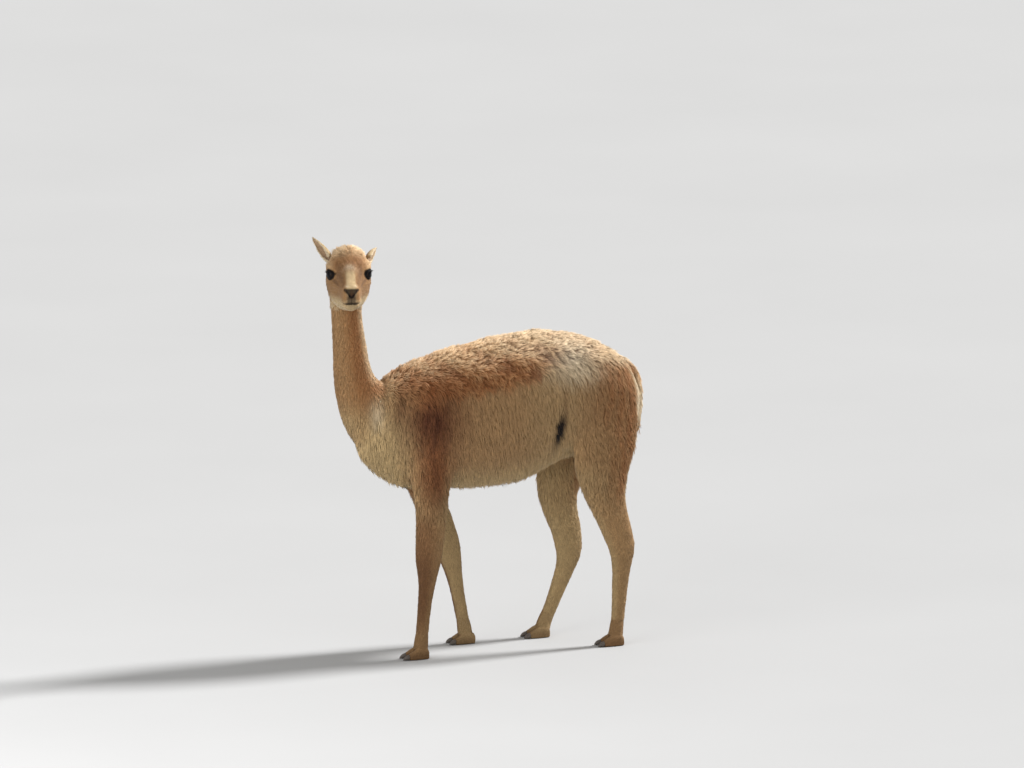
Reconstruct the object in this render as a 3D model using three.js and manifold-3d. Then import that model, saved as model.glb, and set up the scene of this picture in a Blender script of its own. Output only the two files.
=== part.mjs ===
// A standing vicuna, life size, with its head turned to its left.
// Millimetres, +Z up. The animal faces -Y, its left side is +X and its feet stand on Z = 0.

import * as THREE from 'three';
import Module from 'manifold-3d';
import { mergeVertices } from 'three/addons/utils/BufferGeometryUtils.js';
import { ConvexGeometry } from 'three/addons/geometries/ConvexGeometry.js';

const wasm = await Module();
wasm.setup();

// Driving dimensions
const GAP = 0.35; // between parts that meet
const FAR = 900; // beyond the animal on every side
const BELOW = 50; // beneath the soles
const COAT_RISE = 17; // the fleece's tips above the body's core

// Torso: place along Y, then the coat's top, its bottom and its half width
const TORSO = [
  [-758, 672, 624, 20],
  [-745, 704, 578, 55],
  [-718, 748, 541, 80],
  [-680, 789, 508, 96],
  [-620, 826, 478, 110],
  [-560, 848, 467, 119],
  [-490, 869, 462, 128],
  [-400, 885, 460, 138],
  [-310, 900, 463, 144],
  [-250, 906, 471, 143],
  [-190, 909, 496, 138],
  [-130, 904, 522, 134],
  [-80, 894, 531, 132],
  [-35, 880, 536, 128],
  [10, 855, 541, 120],
  [55, 825, 551, 103],
  [84, 791, 574, 81],
  [102, 748, 612, 53],
  [109, 708, 652, 22],
];
const TORSO_RINGS = 20;
const TORSO_SIDES = 18;
const TORSO_SQUARENESS = 2.25; // exponent of the torso's oval, 2 for an ellipse
const BRISKET_TAPER = 0.24; // how far the oval narrows towards the belly

// Neck: its axis X, Y, Z from inside the chest to inside the skull, then half depth and half width
const NECK = [
  [0, -590, 655, 150, 92],
  [0, -655, 680, 128, 86],
  [0, -706, 714, 98, 76],
  [0, -740, 770, 70, 62],
  [0, -755, 830, 58, 53],
  [-1, -762, 900, 52, 48],
  [-4, -768, 970, 48, 46],
  [-8, -769, 1030, 49, 48],
  [-10, -769, 1075, 50, 49],
];
const NECK_RINGS = 11;
const NECK_SIDES = 14;

// Head: the eyes' midpoint and the heading, then rings along the face
const EYES = new THREE.Vector3(49, -780.5, 1111.5);
const HEAD_TURN = 74; // degrees from straight ahead towards the animal's left
// Each ring: place forward of the eyes, top, bottom, half width, and how far the jaw narrows
const HEAD = [
  [-108, 18, -28, 16, 0],
  [-100, 35, -50, 37, 0.02],
  [-82, 54, -76, 56, 0.08],
  [-58, 66, -92, 65, 0.12],
  [-32, 70, -100, 66, 0.15],
  [-8, 66, -103, 64, 0.16],
  [12, 55, -103, 57, 0.18],
  [32, 38, -100, 47, 0.24],
  [54, 20, -96, 36.5, 0.26],
  [76, 5, -92, 30.5, 0.18],
  [94, -6, -89, 28, 0.12],
  [108, -13, -86, 26, 0.08],
  [118, -20, -80, 21.5, 0.05],
  [124, -31, -69, 12, 0],
];
const HEAD_RINGS = 15;
const HEAD_SIDES = 16;
const HEAD_SQUARENESS = 2.15;
const MUZZLE_SQUARENESS = 2.65;
const MUZZLE = [60, 105]; // forward places between which the face grows squarer
const JOWL_SQUARENESS = 3.1; // the lower half of the face, from the cheeks to the muzzle
const JOWL = [20, 70]; // forward places between which it becomes the muzzle's
const HEAD_REACH = 110; // about half the head's length
const EYE_RADIUS = 19;
const EYE_FORWARD = 5;
const EYE_OUT = 43.5;
const EYE_GAZE = 60; // degrees from straight ahead
const EYE_FACETS = [12, 9];
const LID_THICKNESS = 2.6;
const LID_OPENING = [37, 29]; // long and short way of the almond between the lids
const LID_DROP = 0.9; // the lower lid's curve against the upper's
const LID_REACH = 40; // past the lids' surface
const MOUTH = [[130, -64], [104, -66], [78, -71], [58, -74]]; // forward of and below the eyes
const MOUTH_HEIGHT = 2.2;
const MOUTH_DEPTH = 4;
const MOUTH_SPAN = 90; // past the muzzle on both sides
const LIP_FACETS = [10, 6];
const NOSTRIL = {
  forward: 117, out: 11.5, down: -31, size: [9, 3.2, 7.4], toe: 34, tilt: 48, facets: [8, 6],
};
const LIP = { at: [102, 10, -54], size: [20, 13.5, 11.5], dip: 12 };
const CHIN = { at: [91, 0, -78], size: [22, 17, 11.5], dip: 6 };
const BROW = { forward: -8, reach: 26, up: 0.42, spread: 0.34, out: 7 }; // the bulge over each temple
const LIP_CLEFT = { width: 1.5, top: -45, bottom: -65, depth: 3.5, forward: 115, reach: 60 };

// Ears: base and tip relative to the eyes as forward, left and up, the right ear and the left one
const EAR_RIGHT = { base: [-50, -58, 38], tip: [-110, -98, 84], opens: [0.62, -0.55, -0.3] };
const EAR_LEFT = { base: [-52, 63, 32], tip: [-124, 86, 47], opens: [0.5, 0.75, -0.25] };
// Each ring: share of the length, half width, depth of the cup, thickness
const EAR = [
  [-0.12, 13, 13, 9],
  [0.06, 16.5, 14.5, 6],
  [0.25, 18, 13.5, 4],
  [0.5, 15.5, 10.5, 3.4],
  [0.75, 10, 6.5, 3],
  [0.92, 5, 3.8, 2.4],
  [1, 1.8, 1.6, 1.2],
];
const EAR_ARC = 108; // degrees that the cup's wall reaches round from its back, each way
const EAR_STEPS = 4;

// Legs: girth by place on the leg, 0 at the sole, 1 at the knee or hock, 2 inside the body,
// as half depth and half width, then each leg's axis as place, X, Y, Z
const FORE_GIRTH = [
  [0.1, 23.5, 22.5],
  [0.17, 23, 21],
  [0.32, 21.5, 19.5],
  [0.56, 23, 21],
  [0.78, 29, 25.5],
  [1, 41, 32],
  [1.2, 43.5, 35],
  [1.45, 46, 37],
  [1.62, 58, 40],
  [1.8, 80, 38],
  [2, 80, 36],
];
const HIND_GIRTH = [
  [0.1, 24, 22.5],
  [0.17, 23, 21],
  [0.36, 22.5, 20.5],
  [0.62, 26.5, 22],
  [0.8, 31, 24],
  [0.9, 36, 26],
  [1, 42, 28],
  [1.12, 47, 32],
  [1.26, 53, 38],
  [1.38, 64, 44],
  [1.52, 86, 49],
  [1.7, 106, 49],
  [1.85, 104, 38],
  [2, 86, 34],
];
const LEGS = {
  foreleg_left: { girth: FORE_GIRTH, foot: [80, -581], axis: [
    [0.1, 80, -579, 28], [0.17, 80, -577, 48], [0.32, 80, -573, 88], [0.56, 80, -566, 160],
    [0.78, 80, -559, 222], [1, 80, -555, 284], [1.2, 80, -551, 340], [1.45, 80, -547, 410],
    [1.62, 77, -543, 470], [1.8, 70, -546, 570], [2, 60, -556, 665]] },
  foreleg_right: { girth: FORE_GIRTH, foot: [-80, -385], axis: [
    [0.1, -80, -388, 28], [0.17, -80, -391, 48], [0.32, -80, -399, 88], [0.56, -80, -412, 155],
    [0.78, -80, -424, 215], [1, -80, -441, 282], [1.2, -80, -463, 343], [1.45, -80, -490, 410],
    [1.62, -77, -513, 470], [1.8, -70, -540, 570], [2, -60, -556, 665]] },
  hindleg_left: { girth: HIND_GIRTH, foot: [90, 0], axis: [
    [0.1, 90, 2, 28], [0.17, 90, 5, 48], [0.36, 90, 11, 100], [0.62, 90, 16, 176],
    [0.8, 90, 20, 226], [1, 90, 21, 281], [1.12, 90, 6, 331], [1.26, 90, -15, 392],
    [1.38, 90, -28, 438], [1.52, 88, -36, 505], [1.7, 84, -30, 590], [1.85, 74, -14, 665],
    [2, 62, -5, 735]] },
  hindleg_right: { girth: HIND_GIRTH, foot: [-90, -157], axis: [
    [0.1, -90, -151, 28], [0.17, -90, -144, 48], [0.36, -90, -124, 92], [0.62, -90, -101, 150],
    [0.8, -90, -84, 194], [1, -90, -72, 246], [1.12, -90, -80, 304], [1.26, -90, -97, 363],
    [1.38, -90, -105, 420], [1.52, -88, -92, 500], [1.7, -84, -55, 590], [1.85, -74, -25, 665],
    [2, -62, -8, 735]] },
};
const LIMB_STEP = 0.3; // rows ahead and behind that give a limb's direction
const LEG_RINGS = 14;
const LEG_SIDES = 12;

// Feet: two toes side by side, each with a pad that is flat below and a nail in front
const TOE = { length: 62, heel: 24, apart: 12.6, halfWidth: 11.6, height: 36, tipHeight: 19, sides: 8 };
// Each ring: share of the length, width, height
const TOE_FORM = [[0, 0.66, 0.72], [0.14, 0.94, 0.95], [0.45, 1, 1], [0.8, 0.95, 0.72], [1, 0.8, 0.5]];
const TOE_SQUARENESS = 2.4;
const TOE_FLAT = 0.42; // the oval's middle as a share of its height, so that its foot is cut flat
const TOE_SPLAY = 3; // degrees that each toe turns out
const NAIL = { length: 17, halfWidth: 8.2, height: 15, lift: 1.2, sides: 8 };
const NAIL_FORM = [[0, 1, 1], [0.4, 0.82, 0.8], [0.75, 0.5, 0.5], [1, 0.14, 0.2]];
const NAIL_SQUARENESS = 2.3;

// Tail: axis Y and Z from the root down, then half thickness and half width
const TAIL = [
  [72, 804, 15, 20],
  [91, 774, 17, 25],
  [102, 735, 16, 29],
  [103, 690, 14, 30],
  [101, 640, 12, 27],
  [98, 595, 9, 20],
  [95, 562, 4, 9],
];
const TAIL_RINGS = 7;
const TAIL_SIDES = 8;

// The coat. A strand is a clump or a lock: its shares along its length, with the half width and half
// thickness at each as shares of its own, and how far its middle has come up out of the body
const CLUMP = [
  [0, 0.3, 0.25, 0],
  [0.3, 0.88, 0.85, 1],
  [0.68, 1, 1, 1],
  [1, 0.36, 0.35, 0.4],
];
const LOCK = [
  [0, 0.5, 0.7, 0],
  [0.3, 1, 1, 0.7],
  [0.66, 0.82, 0.9, 1],
  [1, 0.14, 0.3, 0.9],
];
const STRAND_SIDES = 6;
const SINK = 6; // how deep the middle of a strand's root lies below the core
const PROBE = 10; // lift by which a strand finds which way is out
const SEED = 20;
const LOCK_SWAY = 0.1; // how far limb locks stray, as a share of their spacing
// Fleece clumps in rings along the back and sides, as angles round the torso from straight up
const FLEECE = {
  start: -656, end: 40, step: 97, angles: [0, 38, 71, 103], chest: [-590, 80],
  length: 120, halfWidth: 51, thick: 17, slant: 5, drape: { from: 60, share: 0.1 },
  vary: { size: 0.12, rise: 0.12, place: 12, turn: 4 },
};
// Locks that hang from the chest, and from the lower edge of the flanks
const BIB = {
  places: [-734, -690, -636], angles: [68, 104, 144], shift: 11, run: 96, draw: 0.24,
  halfWidth: 31, thick: 8, rise: 16, droop: 10, vary: { size: 0.15, droop: 0.3, turn: 3 },
};
const FRINGE = {
  start: -446, end: -216, step: 57, from: 108, to: 152, run: 30,
  halfWidth: 37, thick: 9, rise: 15, droop: 8, vary: { place: 7, droop: 0.3 },
};
// Locks round the neck's foot and on the tail, by place among the rows and angles round the axis
const NECK_LOCKS = {
  places: [4.1, 3], angles: [0, 72, 144, 216, 288], run: -1.2, halfWidth: 29, thick: 6, rise: 6,
};
const TAIL_LOCKS = {
  places: [1.6, 3.4], angles: [-64, 0, 64], run: 2.2, halfWidth: 13, thick: 4.5, rise: 3.5,
};
// Clumps on the crown, by place forward of the eyes and angle from straight up
const CROWN = {
  places: [-60, -26], angles: [-38, -6, 26], shift: 12, sway: 4, run: 40, spread: 1.1,
  halfWidth: 21, thick: 8, rise: 10,
};

// Planes that part the whole body, each by two points of its side view as Y and Z
const NECK_CUT = [[-683, 800], [-778, 596]];
// The head's cut in the head's own view, as forward of and above the eyes
const HEAD_CUT = [[-2, -101], [-118, -34]];
// Wedges that hold each leg, as corners of the side view from its front to its back
const WEDGES = {
  foreleg_left: [[-612, 490], [-588, 556], [-506, 556], [-474, 490]],
  foreleg_right: [[-592, 490], [-575, 556], [-500, 556], [-452, 490]],
  hindleg_left: [[-128, 505], [-110, 596], [-30, 640], [135, 588]],
  hindleg_right: [[-186, 505], [-158, 592], [-60, 640], [135, 588]],
};
const WEDGE_SPREAD = [24, 60]; // how far out the inner side starts at its foot and at its top
const WEDGE_FLARE = 110; // how much wider the wedge is below the ground than at its lowest corners

// Finishes
const COAT = new THREE.MeshStandardMaterial({ color: 0xc9a070, roughness: 0.95, metalness: 0 });
const PALE = new THREE.MeshStandardMaterial({ color: 0xd9c6a4, roughness: 0.95, metalness: 0 });
const EYE = new THREE.MeshStandardMaterial({ color: 0x120c0a, roughness: 0.08, metalness: 0 });
const HORN = new THREE.MeshStandardMaterial({ color: 0x3a302a, roughness: 0.45, metalness: 0 });

const radians = THREE.MathUtils.degToRad;
const vector = (x, y, z) => new THREE.Vector3(x, y, z);

let seed = SEED;
/** A repeatable draw between -1 and 1. */
function draw() {
  seed = (seed * 1664525 + 1013904223) % 4294967296;
  return seed / 2147483648 - 1;
}

/** Reads a table of rows at a place in its first column, on a smooth curve through the rows. */
function along(table, place) {
  const last = table.length - 1;
  let i = 0;
  while (i < last - 1 && place > table[i + 1][0]) i += 1;
  const [a, b] = [table[i], table[i + 1]];
  const before = table[Math.max(i - 1, 0)];
  const after = table[Math.min(i + 2, last)];
  const span = b[0] - a[0];
  const t = THREE.MathUtils.clamp((place - a[0]) / span, 0, 1);
  const slopeA = a === before ? 1 : span / (b[0] - before[0]);
  const slopeB = b === after ? 1 : span / (after[0] - a[0]);
  return a.slice(1).map((value, k) => {
    const va = value;
    const vb = b[k + 1];
    const ma = (vb - before[k + 1]) * slopeA;
    const mb = (after[k + 1] - va) * slopeB;
    const t2 = t * t;
    const t3 = t2 * t;
    return (2 * t3 - 3 * t2 + 1) * va + (t3 - 2 * t2 + t) * ma + (3 * t2 - 2 * t3) * vb + (t3 - t2) * mb;
  });
}

/** Places spread over a table's rows, closer where its rows are closer. */
function places(table, count) {
  const last = table.length - 1;
  return Array.from({ length: count }, (_, i) => {
    const row = (i * last) / (count - 1);
    const k = Math.min(Math.floor(row), last - 1);
    return THREE.MathUtils.lerp(table[k][0], table[k + 1][0], row - k);
  });
}

/** A closed skin over rings of points, each ring with as many points, ends closed round their middles. */
function loft(rings) {
  const sides = rings[0].length;
  const position = [];
  const index = [];
  rings.flat().forEach((p) => position.push(p.x, p.y, p.z));
  for (let r = 0; r < rings.length - 1; r += 1) {
    for (let s = 0; s < sides; s += 1) {
      const a = r * sides + s;
      const b = r * sides + ((s + 1) % sides);
      index.push(a, b, b + sides, a, b + sides, a + sides);
    }
  }
  [rings[0], rings.at(-1)].forEach((ring, end) => {
    const middle = ring.reduce((sum, p) => sum.add(p), vector(0, 0, 0)).divideScalar(sides);
    const centre = position.length / 3;
    position.push(middle.x, middle.y, middle.z);
    const first = end === 0 ? 0 : (rings.length - 1) * sides;
    for (let s = 0; s < sides; s += 1) {
      const [a, b] = [first + s, first + ((s + 1) % sides)];
      index.push(...(end === 0 ? [b, a, centre] : [a, b, centre]));
    }
  });
  const geometry = new THREE.BufferGeometry();
  geometry.setAttribute('position', new THREE.Float32BufferAttribute(position, 3));
  geometry.setIndex(index);
  return geometry;
}

/** Six times the volume that a mesh's triangles enclose, negative where they face inwards. */
function enclosed(position, index) {
  const [a, b, c] = [vector(0, 0, 0), vector(0, 0, 0), vector(0, 0, 0)];
  let sum = 0;
  for (let t = 0; t < index.length; t += 3) {
    a.fromBufferAttribute(position, index[t]);
    b.fromBufferAttribute(position, index[t + 1]);
    c.fromBufferAttribute(position, index[t + 2]);
    sum += a.dot(b.cross(c));
  }
  return sum;
}

/** A solid from a closed geometry. */
function solid(geometry) {
  const bare = geometry.clone();
  ['normal', 'uv'].forEach((name) => bare.deleteAttribute(name));
  const merged = mergeVertices(bare, 1e-4);
  const index = Array.from(merged.index.array);
  if (enclosed(merged.attributes.position, index) < 0) {
    for (let t = 0; t < index.length; t += 3) [index[t + 1], index[t + 2]] = [index[t + 2], index[t + 1]];
  }
  return new wasm.Manifold(new wasm.Mesh({
    numProp: 3,
    vertProperties: new Float32Array(merged.attributes.position.array),
    triVerts: new Uint32Array(index),
  }));
}

/** The largest closed surface of a solid. */
function largest(body) {
  return body.decompose().reduce((best, piece) => (piece.volume() > best.volume() ? piece : best));
}

const join = (pieces) => pieces.reduce((sum, piece) => sum.add(piece));

/** Points of an oval with a rounded-square exponent, turned by a function from (across, up) to space. */
function oval(sides, exponent, place) {
  return Array.from({ length: sides }, (_, s) => {
    const angle = (2 * Math.PI * (s + 0.5)) / sides;
    const [c, d] = [Math.cos(angle), Math.sin(angle)];
    const power = 2 / exponent;
    return place(Math.sign(c) * Math.abs(c) ** power, Math.sign(d) * Math.abs(d) ** power);
  });
}

/** A point of the torso by its place along Y and its oval's across and up, grown by a rise. */
function torsoPoint(y, across, up, rise) {
  const [top, bottom, width] = along(TORSO, y);
  const middle = (top + bottom) / 2;
  const half = Math.max((top - bottom) / 2 + rise, 1);
  const narrowing = 1 - BRISKET_TAPER * Math.max(0, -up) ** 1.5;
  return vector(Math.max(width + rise, 1) * across * narrowing, y, middle + half * up);
}

/** Across and up on a rounded-square oval at an angle from straight up, positive to the left. */
function around(angle, exponent) {
  const [c, d] = [Math.sin(radians(angle)), Math.cos(radians(angle))];
  const power = 2 / exponent;
  return [Math.sign(c) * Math.abs(c) ** power, Math.sign(d) * Math.abs(d) ** power];
}

const torsoAt = (y, angle, rise) => torsoPoint(y, ...around(angle, TORSO_SQUARENESS), rise - COAT_RISE);

/** The torso as one smooth form, grown or shrunk by a rise. */
function torsoForm(rise) {
  const first = TORSO[0][0];
  const last = TORSO.at(-1)[0];
  const rings = places(TORSO, TORSO_RINGS).map((y) => {
    const shifted = y + (rise * (2 * y - first - last)) / (last - first);
    return oval(TORSO_SIDES, TORSO_SQUARENESS,
      (across, up) => torsoPoint(y, across, up, rise).setY(shifted));
  });
  return solid(loft(rings));
}

/** A point on a round limb by its place among its rows of X, Y, Z, half depth, half width, and its angle. */
function limbAt(rows, place, angle, rise) {
  const indexed = rows.map((row, i) => [i, ...row]);
  const at = (t) => vector(...along(indexed, THREE.MathUtils.clamp(t, 0, rows.length - 1)).slice(0, 3));
  const [depth, width] = along(indexed, THREE.MathUtils.clamp(place, 0, rows.length - 1)).slice(3);
  const ahead = at(place + LIMB_STEP).sub(at(place - LIMB_STEP)).normalize();
  const front = ahead.clone().cross(vector(1, 0, 0)).normalize();
  const side = front.clone().cross(ahead).normalize();
  const [across, up] = around(angle, 2);
  return at(place).addScaledVector(side, across * (width + rise))
    .addScaledVector(front, up * (depth + rise));
}

/** A round limb whose rings stand square to its axis. */
function limb(rows, count, sides, rise = 0) {
  const rings = Array.from({ length: count }, (_, i) => (i * (rows.length - 1)) / (count - 1))
    .map((t) => Array.from({ length: sides }, (_, k) => limbAt(rows, t, (360 * (k + 0.5)) / sides, rise)));
  return solid(loft(rings));
}

const neckForm = (rise) => limb(NECK, NECK_RINGS, NECK_SIDES, rise);

// The head's own directions
const forward = vector(Math.sin(radians(HEAD_TURN)), -Math.cos(radians(HEAD_TURN)), 0);
const leftward = vector(-forward.y, forward.x, 0);
const headPoint = (f, s, v) => EYES.clone()
  .addScaledVector(forward, f).addScaledVector(leftward, s).add(vector(0, 0, v));
const headTurn = new THREE.Matrix4().makeBasis(forward, leftward, vector(0, 0, 1)).setPosition(EYES);

/** How far across the face's lower half reaches, squarer at the cheeks. */
function jowlAcross(f, across, up) {
  const power = THREE.MathUtils.mapLinear(
    THREE.MathUtils.clamp(f, ...JOWL), ...JOWL, JOWL_SQUARENESS, MUZZLE_SQUARENESS,
  );
  return Math.sign(across) * Math.max(0, 1 - (-up) ** power) ** (1 / power);
}

/** A point of the skull and muzzle by its place forward of the eyes and its oval's across and up. */
function facePoint(f, across, up, rise) {
  const [top, bottom, width, jaw] = along(HEAD, f);
  const half = Math.max((top - bottom) / 2 + rise, 1);
  const narrowing = 1 - jaw * Math.max(0, -up) ** 1.3;
  const out = up < 0 ? jowlAcross(f, across, up) : across;
  const brow = BROW.out * Math.exp(-(((f - BROW.forward) / BROW.reach) ** 2) - ((up - BROW.up) / BROW.spread) ** 2);
  return headPoint(f + (rise * f) / HEAD_REACH, (Math.max(width + rise, 1) * narrowing + brow) * out,
    (top + bottom) / 2 + half * up);
}

/** How square the face's oval is at a place forward of the eyes. */
const faceSquareness = (f) => THREE.MathUtils.mapLinear(
  THREE.MathUtils.clamp(f, ...MUZZLE), ...MUZZLE, HEAD_SQUARENESS, MUZZLE_SQUARENESS,
);

/** The skull and muzzle as one smooth form, grown or shrunk by a rise. */
function headForm(rise) {
  return solid(loft(places(HEAD, HEAD_RINGS).map((f) => oval(HEAD_SIDES, faceSquareness(f),
    (across, up) => facePoint(f, across, up, rise)))));
}

const crownAt = (f, angle, rise) => facePoint(f, ...around(angle, HEAD_SQUARENESS), rise);

/** A ball, squashed and turned in the head's own directions. */
function headBall(centre, radii, turn, facets) {
  const ball = new THREE.SphereGeometry(1, ...facets);
  ball.scale(...radii);
  ball.rotateX(radians(turn[0]));
  ball.rotateY(radians(turn[1]));
  ball.rotateZ(radians(turn[2]));
  ball.translate(...centre);
  ball.applyMatrix4(headTurn);
  return solid(ball);
}

/** An eye's ball, grown by a rise; side is 1 for the left eye and -1 for the right. */
const eyeBall = (side, rise) => headBall([EYE_FORWARD, side * EYE_OUT, 0],
  [EYE_RADIUS + rise, EYE_RADIUS + rise, EYE_RADIUS + rise], [0, 0, 0], EYE_FACETS);

/** The almond opening between an eye's lids, as a prism along its gaze. */
function lidOpening(side) {
  const [long, short] = LID_OPENING;
  const almond = new THREE.Shape();
  almond.moveTo(-long / 2, 0);
  almond.quadraticCurveTo(0, short, long / 2, 0);
  almond.quadraticCurveTo(0, -short * LID_DROP, -long / 2, 0);
  const gaze = vector(Math.cos(radians(EYE_GAZE)), side * Math.sin(radians(EYE_GAZE)), 0);
  const across = vector(gaze.y, -gaze.x, 0);
  const basis = new THREE.Matrix4().makeBasis(across, vector(0, 0, 1), gaze);
  basis.setPosition(EYE_FORWARD, side * EYE_OUT, 0);
  const placed = new THREE.ExtrudeGeometry(almond, { depth: LID_REACH, bevelEnabled: false, curveSegments: 4 });
  placed.applyMatrix4(basis);
  placed.applyMatrix4(headTurn);
  return solid(placed);
}

/** The mouth's groove round the muzzle. */
function mouthGroove() {
  const outline = new THREE.Shape();
  const upper = MOUTH.map(([f, v]) => [f, v + MOUTH_HEIGHT / 2]);
  const lower = MOUTH.map(([f, v]) => [f, v - MOUTH_HEIGHT / 2]).reverse();
  outline.setFromPoints([...upper, ...lower].map(([f, v]) => new THREE.Vector2(f, v)));
  const slab = new THREE.ExtrudeGeometry(outline, { depth: MOUTH_SPAN, bevelEnabled: false });
  slab.translate(0, 0, -MOUTH_SPAN / 2);
  slab.rotateX(radians(90));
  slab.applyMatrix4(headTurn);
  return solid(slab).subtract(headForm(-MOUTH_DEPTH));
}

/** The cleft between the nostrils and the mouth. */
function lipCleft() {
  const { width, top, bottom, depth, forward: front, reach } = LIP_CLEFT;
  const box = new THREE.BoxGeometry(reach, width, top - bottom);
  box.translate(front, 0, (top + bottom) / 2);
  box.applyMatrix4(headTurn);
  return solid(box).subtract(headForm(-depth));
}

/** The head with its lips, lids, nostrils and mouth, before it is parted from the neck. */
function headWhole() {
  const [lipForward, lipOut, lipUp] = LIP.at;
  const lips = [-1, 1].map((side) => headBall([lipForward, side * lipOut, lipUp], LIP.size, [0, LIP.dip, 0],
    LIP_FACETS));
  const chin = headBall(CHIN.at, CHIN.size, [0, CHIN.dip, 0], LIP_FACETS);
  const lids = [-1, 1].map((side) => eyeBall(side, LID_THICKNESS));
  let head = join([headForm(0), ...crown(0), ...lips, chin, ...lids]);
  [-1, 1].forEach((side) => {
    head = head.subtract(lidOpening(side)).subtract(eyeBall(side, GAP));
    const { forward: f, out, down, size, toe, tilt, facets } = NOSTRIL;
    head = head.subtract(headBall([f, side * out, down], size, [side * -tilt, 0, side * toe], facets));
  });
  return head.subtract(mouthGroove()).subtract(lipCleft());
}

/** One ear as a cup that opens forward and out, fitted round the head. */
function ear({ base, tip, opens }) {
  const root = headPoint(...base);
  const axis = headPoint(...tip).sub(root);
  const length = axis.length();
  axis.normalize();
  const open = forward.clone().multiplyScalar(opens[0]).addScaledVector(leftward, opens[1]).add(
    vector(0, 0, opens[2]));
  open.addScaledVector(axis, -open.dot(axis)).normalize();
  const across = axis.clone().cross(open);
  const rings = EAR.map(([share, width, depth, thick]) => {
    const centre = root.clone().addScaledVector(axis, share * length);
    const wall = (half, deep, sign) => Array.from({ length: EAR_STEPS * 2 + 1 }, (_, i) => {
      const angle = radians((EAR_ARC * (i - EAR_STEPS)) / EAR_STEPS) * sign;
      return centre.clone().addScaledVector(across, half * Math.sin(angle))
        .addScaledVector(open, -deep * Math.cos(angle));
    });
    return [...wall(width, depth, 1), ...wall(width - thick, depth - thick, -1)];
  });
  return solid(loft(rings)).subtract(join([headForm(GAP), ...crown(GAP)]));
}

/** A half space as a large block on one side of a plane. */
function beyond(point, normal) {
  const block = new THREE.BoxGeometry(FAR * 2, FAR * 2, FAR * 2);
  block.translate(0, 0, FAR);
  const turn = new THREE.Quaternion().setFromUnitVectors(vector(0, 0, 1), normal);
  block.applyQuaternion(turn);
  block.translate(point.x, point.y, point.z);
  return solid(block);
}

/** The two sides of a body at a plane, with half the gap taken off each. */
function partAt(body, point, normal) {
  const step = normal.clone().multiplyScalar(GAP / 2);
  const over = beyond(point.clone().add(step), normal);
  const under = beyond(point.clone().sub(step), normal.clone().negate());
  return [body.intersect(over), body.intersect(under)];
}

/** The wedge round one leg, grown by a rise; side is 1 on the left and -1 on the right. */
function legWedge(corners, side, rise) {
  const lowest = Math.min(...corners.map(([, z]) => z));
  const highest = Math.max(...corners.map(([, z]) => z));
  const [start, end] = WEDGE_SPREAD;
  const middle = corners.reduce((sum, [y]) => sum + y, 0) / corners.length;
  const grown = corners.map(([y, z]) => [y + Math.sign(y - middle) * rise, z + rise]);
  const points = grown.flatMap(([y, z], i) => {
    const share = (corners[i][1] - lowest) / (highest - lowest);
    const inner = THREE.MathUtils.lerp(start, end, share) - rise;
    return [vector(side * inner, y, z), vector(side * FAR, y, z)];
  });
  const [front, back] = [grown[0], grown.at(-1)];
  [front[0] - WEDGE_FLARE, back[0] + WEDGE_FLARE].forEach((y) => {
    points.push(vector(side * (2 - rise), y, -BELOW), vector(side * FAR, y, -BELOW));
  });
  return solid(new ConvexGeometry(points));
}

/** A clump or lock that lies along a form from one place and angle to another. */
function strand(form, shape, from, to, { halfWidth, thick, rise, droop = 0, grow = 0 }) {
  const at = (share, lift) => form(THREE.MathUtils.lerp(from[0], to[0], share),
    THREE.MathUtils.lerp(from[1], to[1], share), lift);
  const lifts = shape.map((row) => THREE.MathUtils.lerp(-SINK, rise - thick, row[3]));
  const centres = shape.map(([share], i) => at(share, lifts[i]).sub(vector(0, 0, droop * share * share)));
  const rings = shape.map(([share, wide, deep], i) => {
    const run = centres[Math.min(i + 1, shape.length - 1)].clone().sub(centres[Math.max(i - 1, 0)]).normalize();
    const out = at(share, lifts[i] + PROBE).sub(at(share, lifts[i]));
    out.addScaledVector(run, -out.dot(run)).normalize();
    const side = run.clone().cross(out);
    return Array.from({ length: STRAND_SIDES }, (_, k) => {
      const angle = (2 * Math.PI * k) / STRAND_SIDES;
      const [up, across] = [Math.sin(angle), Math.cos(angle)];
      return centres[i].clone().addScaledVector(side, across * (wide * halfWidth + grow))
        .addScaledVector(out, up * (deep * thick + grow));
    });
  });
  return solid(loft(rings));
}

/** The rounded clumps of fleece on the back and sides, every other ring set between its neighbours'. */
function fleece() {
  const { start, end, step, angles, chest, length, halfWidth, thick, slant, drape, vary } = FLEECE;
  const between = angles.slice(1).map((angle, k) => (angles[k] + angle) / 2);
  const clumps = [];
  for (let y = start, row = 0; y <= end; y += step, row += 1) {
    (row % 2 === 0 ? angles : between).forEach((angle) => {
      [-1, 1].forEach((side) => {
        const onChest = y < chest[0] && angle > chest[1];
        if ((angle === 0 && side < 0) || onChest) return;
        const turn = side * (angle + vary.turn * draw());
        const down = side * (slant + Math.max(0, angle - drape.from) * drape.share);
        const size = 1 + vary.size * draw();
        const reach = (length / 2) * size;
        const place = y + vary.place * draw();
        clumps.push(strand(torsoAt, CLUMP, [place - reach, turn - down], [place + reach, turn + down],
          { halfWidth: halfWidth * size, thick, rise: COAT_RISE * (1 + vary.rise * draw()) }));
      });
    });
  }
  return clumps;
}

/** The shaggy locks under the neck and on the chest. */
function bib() {
  const { places: starts, angles, shift, run, draw: inward, halfWidth, droop, vary } = BIB;
  return starts.flatMap((place, row) => angles.flatMap((angle) => [-1, 1].map((side) => {
    const from = side * Math.min(angle + (row % 2) * shift + vary.turn * draw(), 180);
    const to = from + (side * 180 - from) * inward;
    const size = 1 + vary.size * draw();
    return strand(torsoAt, LOCK, [place, from], [place + run * size, to],
      { ...BIB, halfWidth: halfWidth * size, droop: droop * (1 + vary.droop * draw()) });
  })));
}

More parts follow.
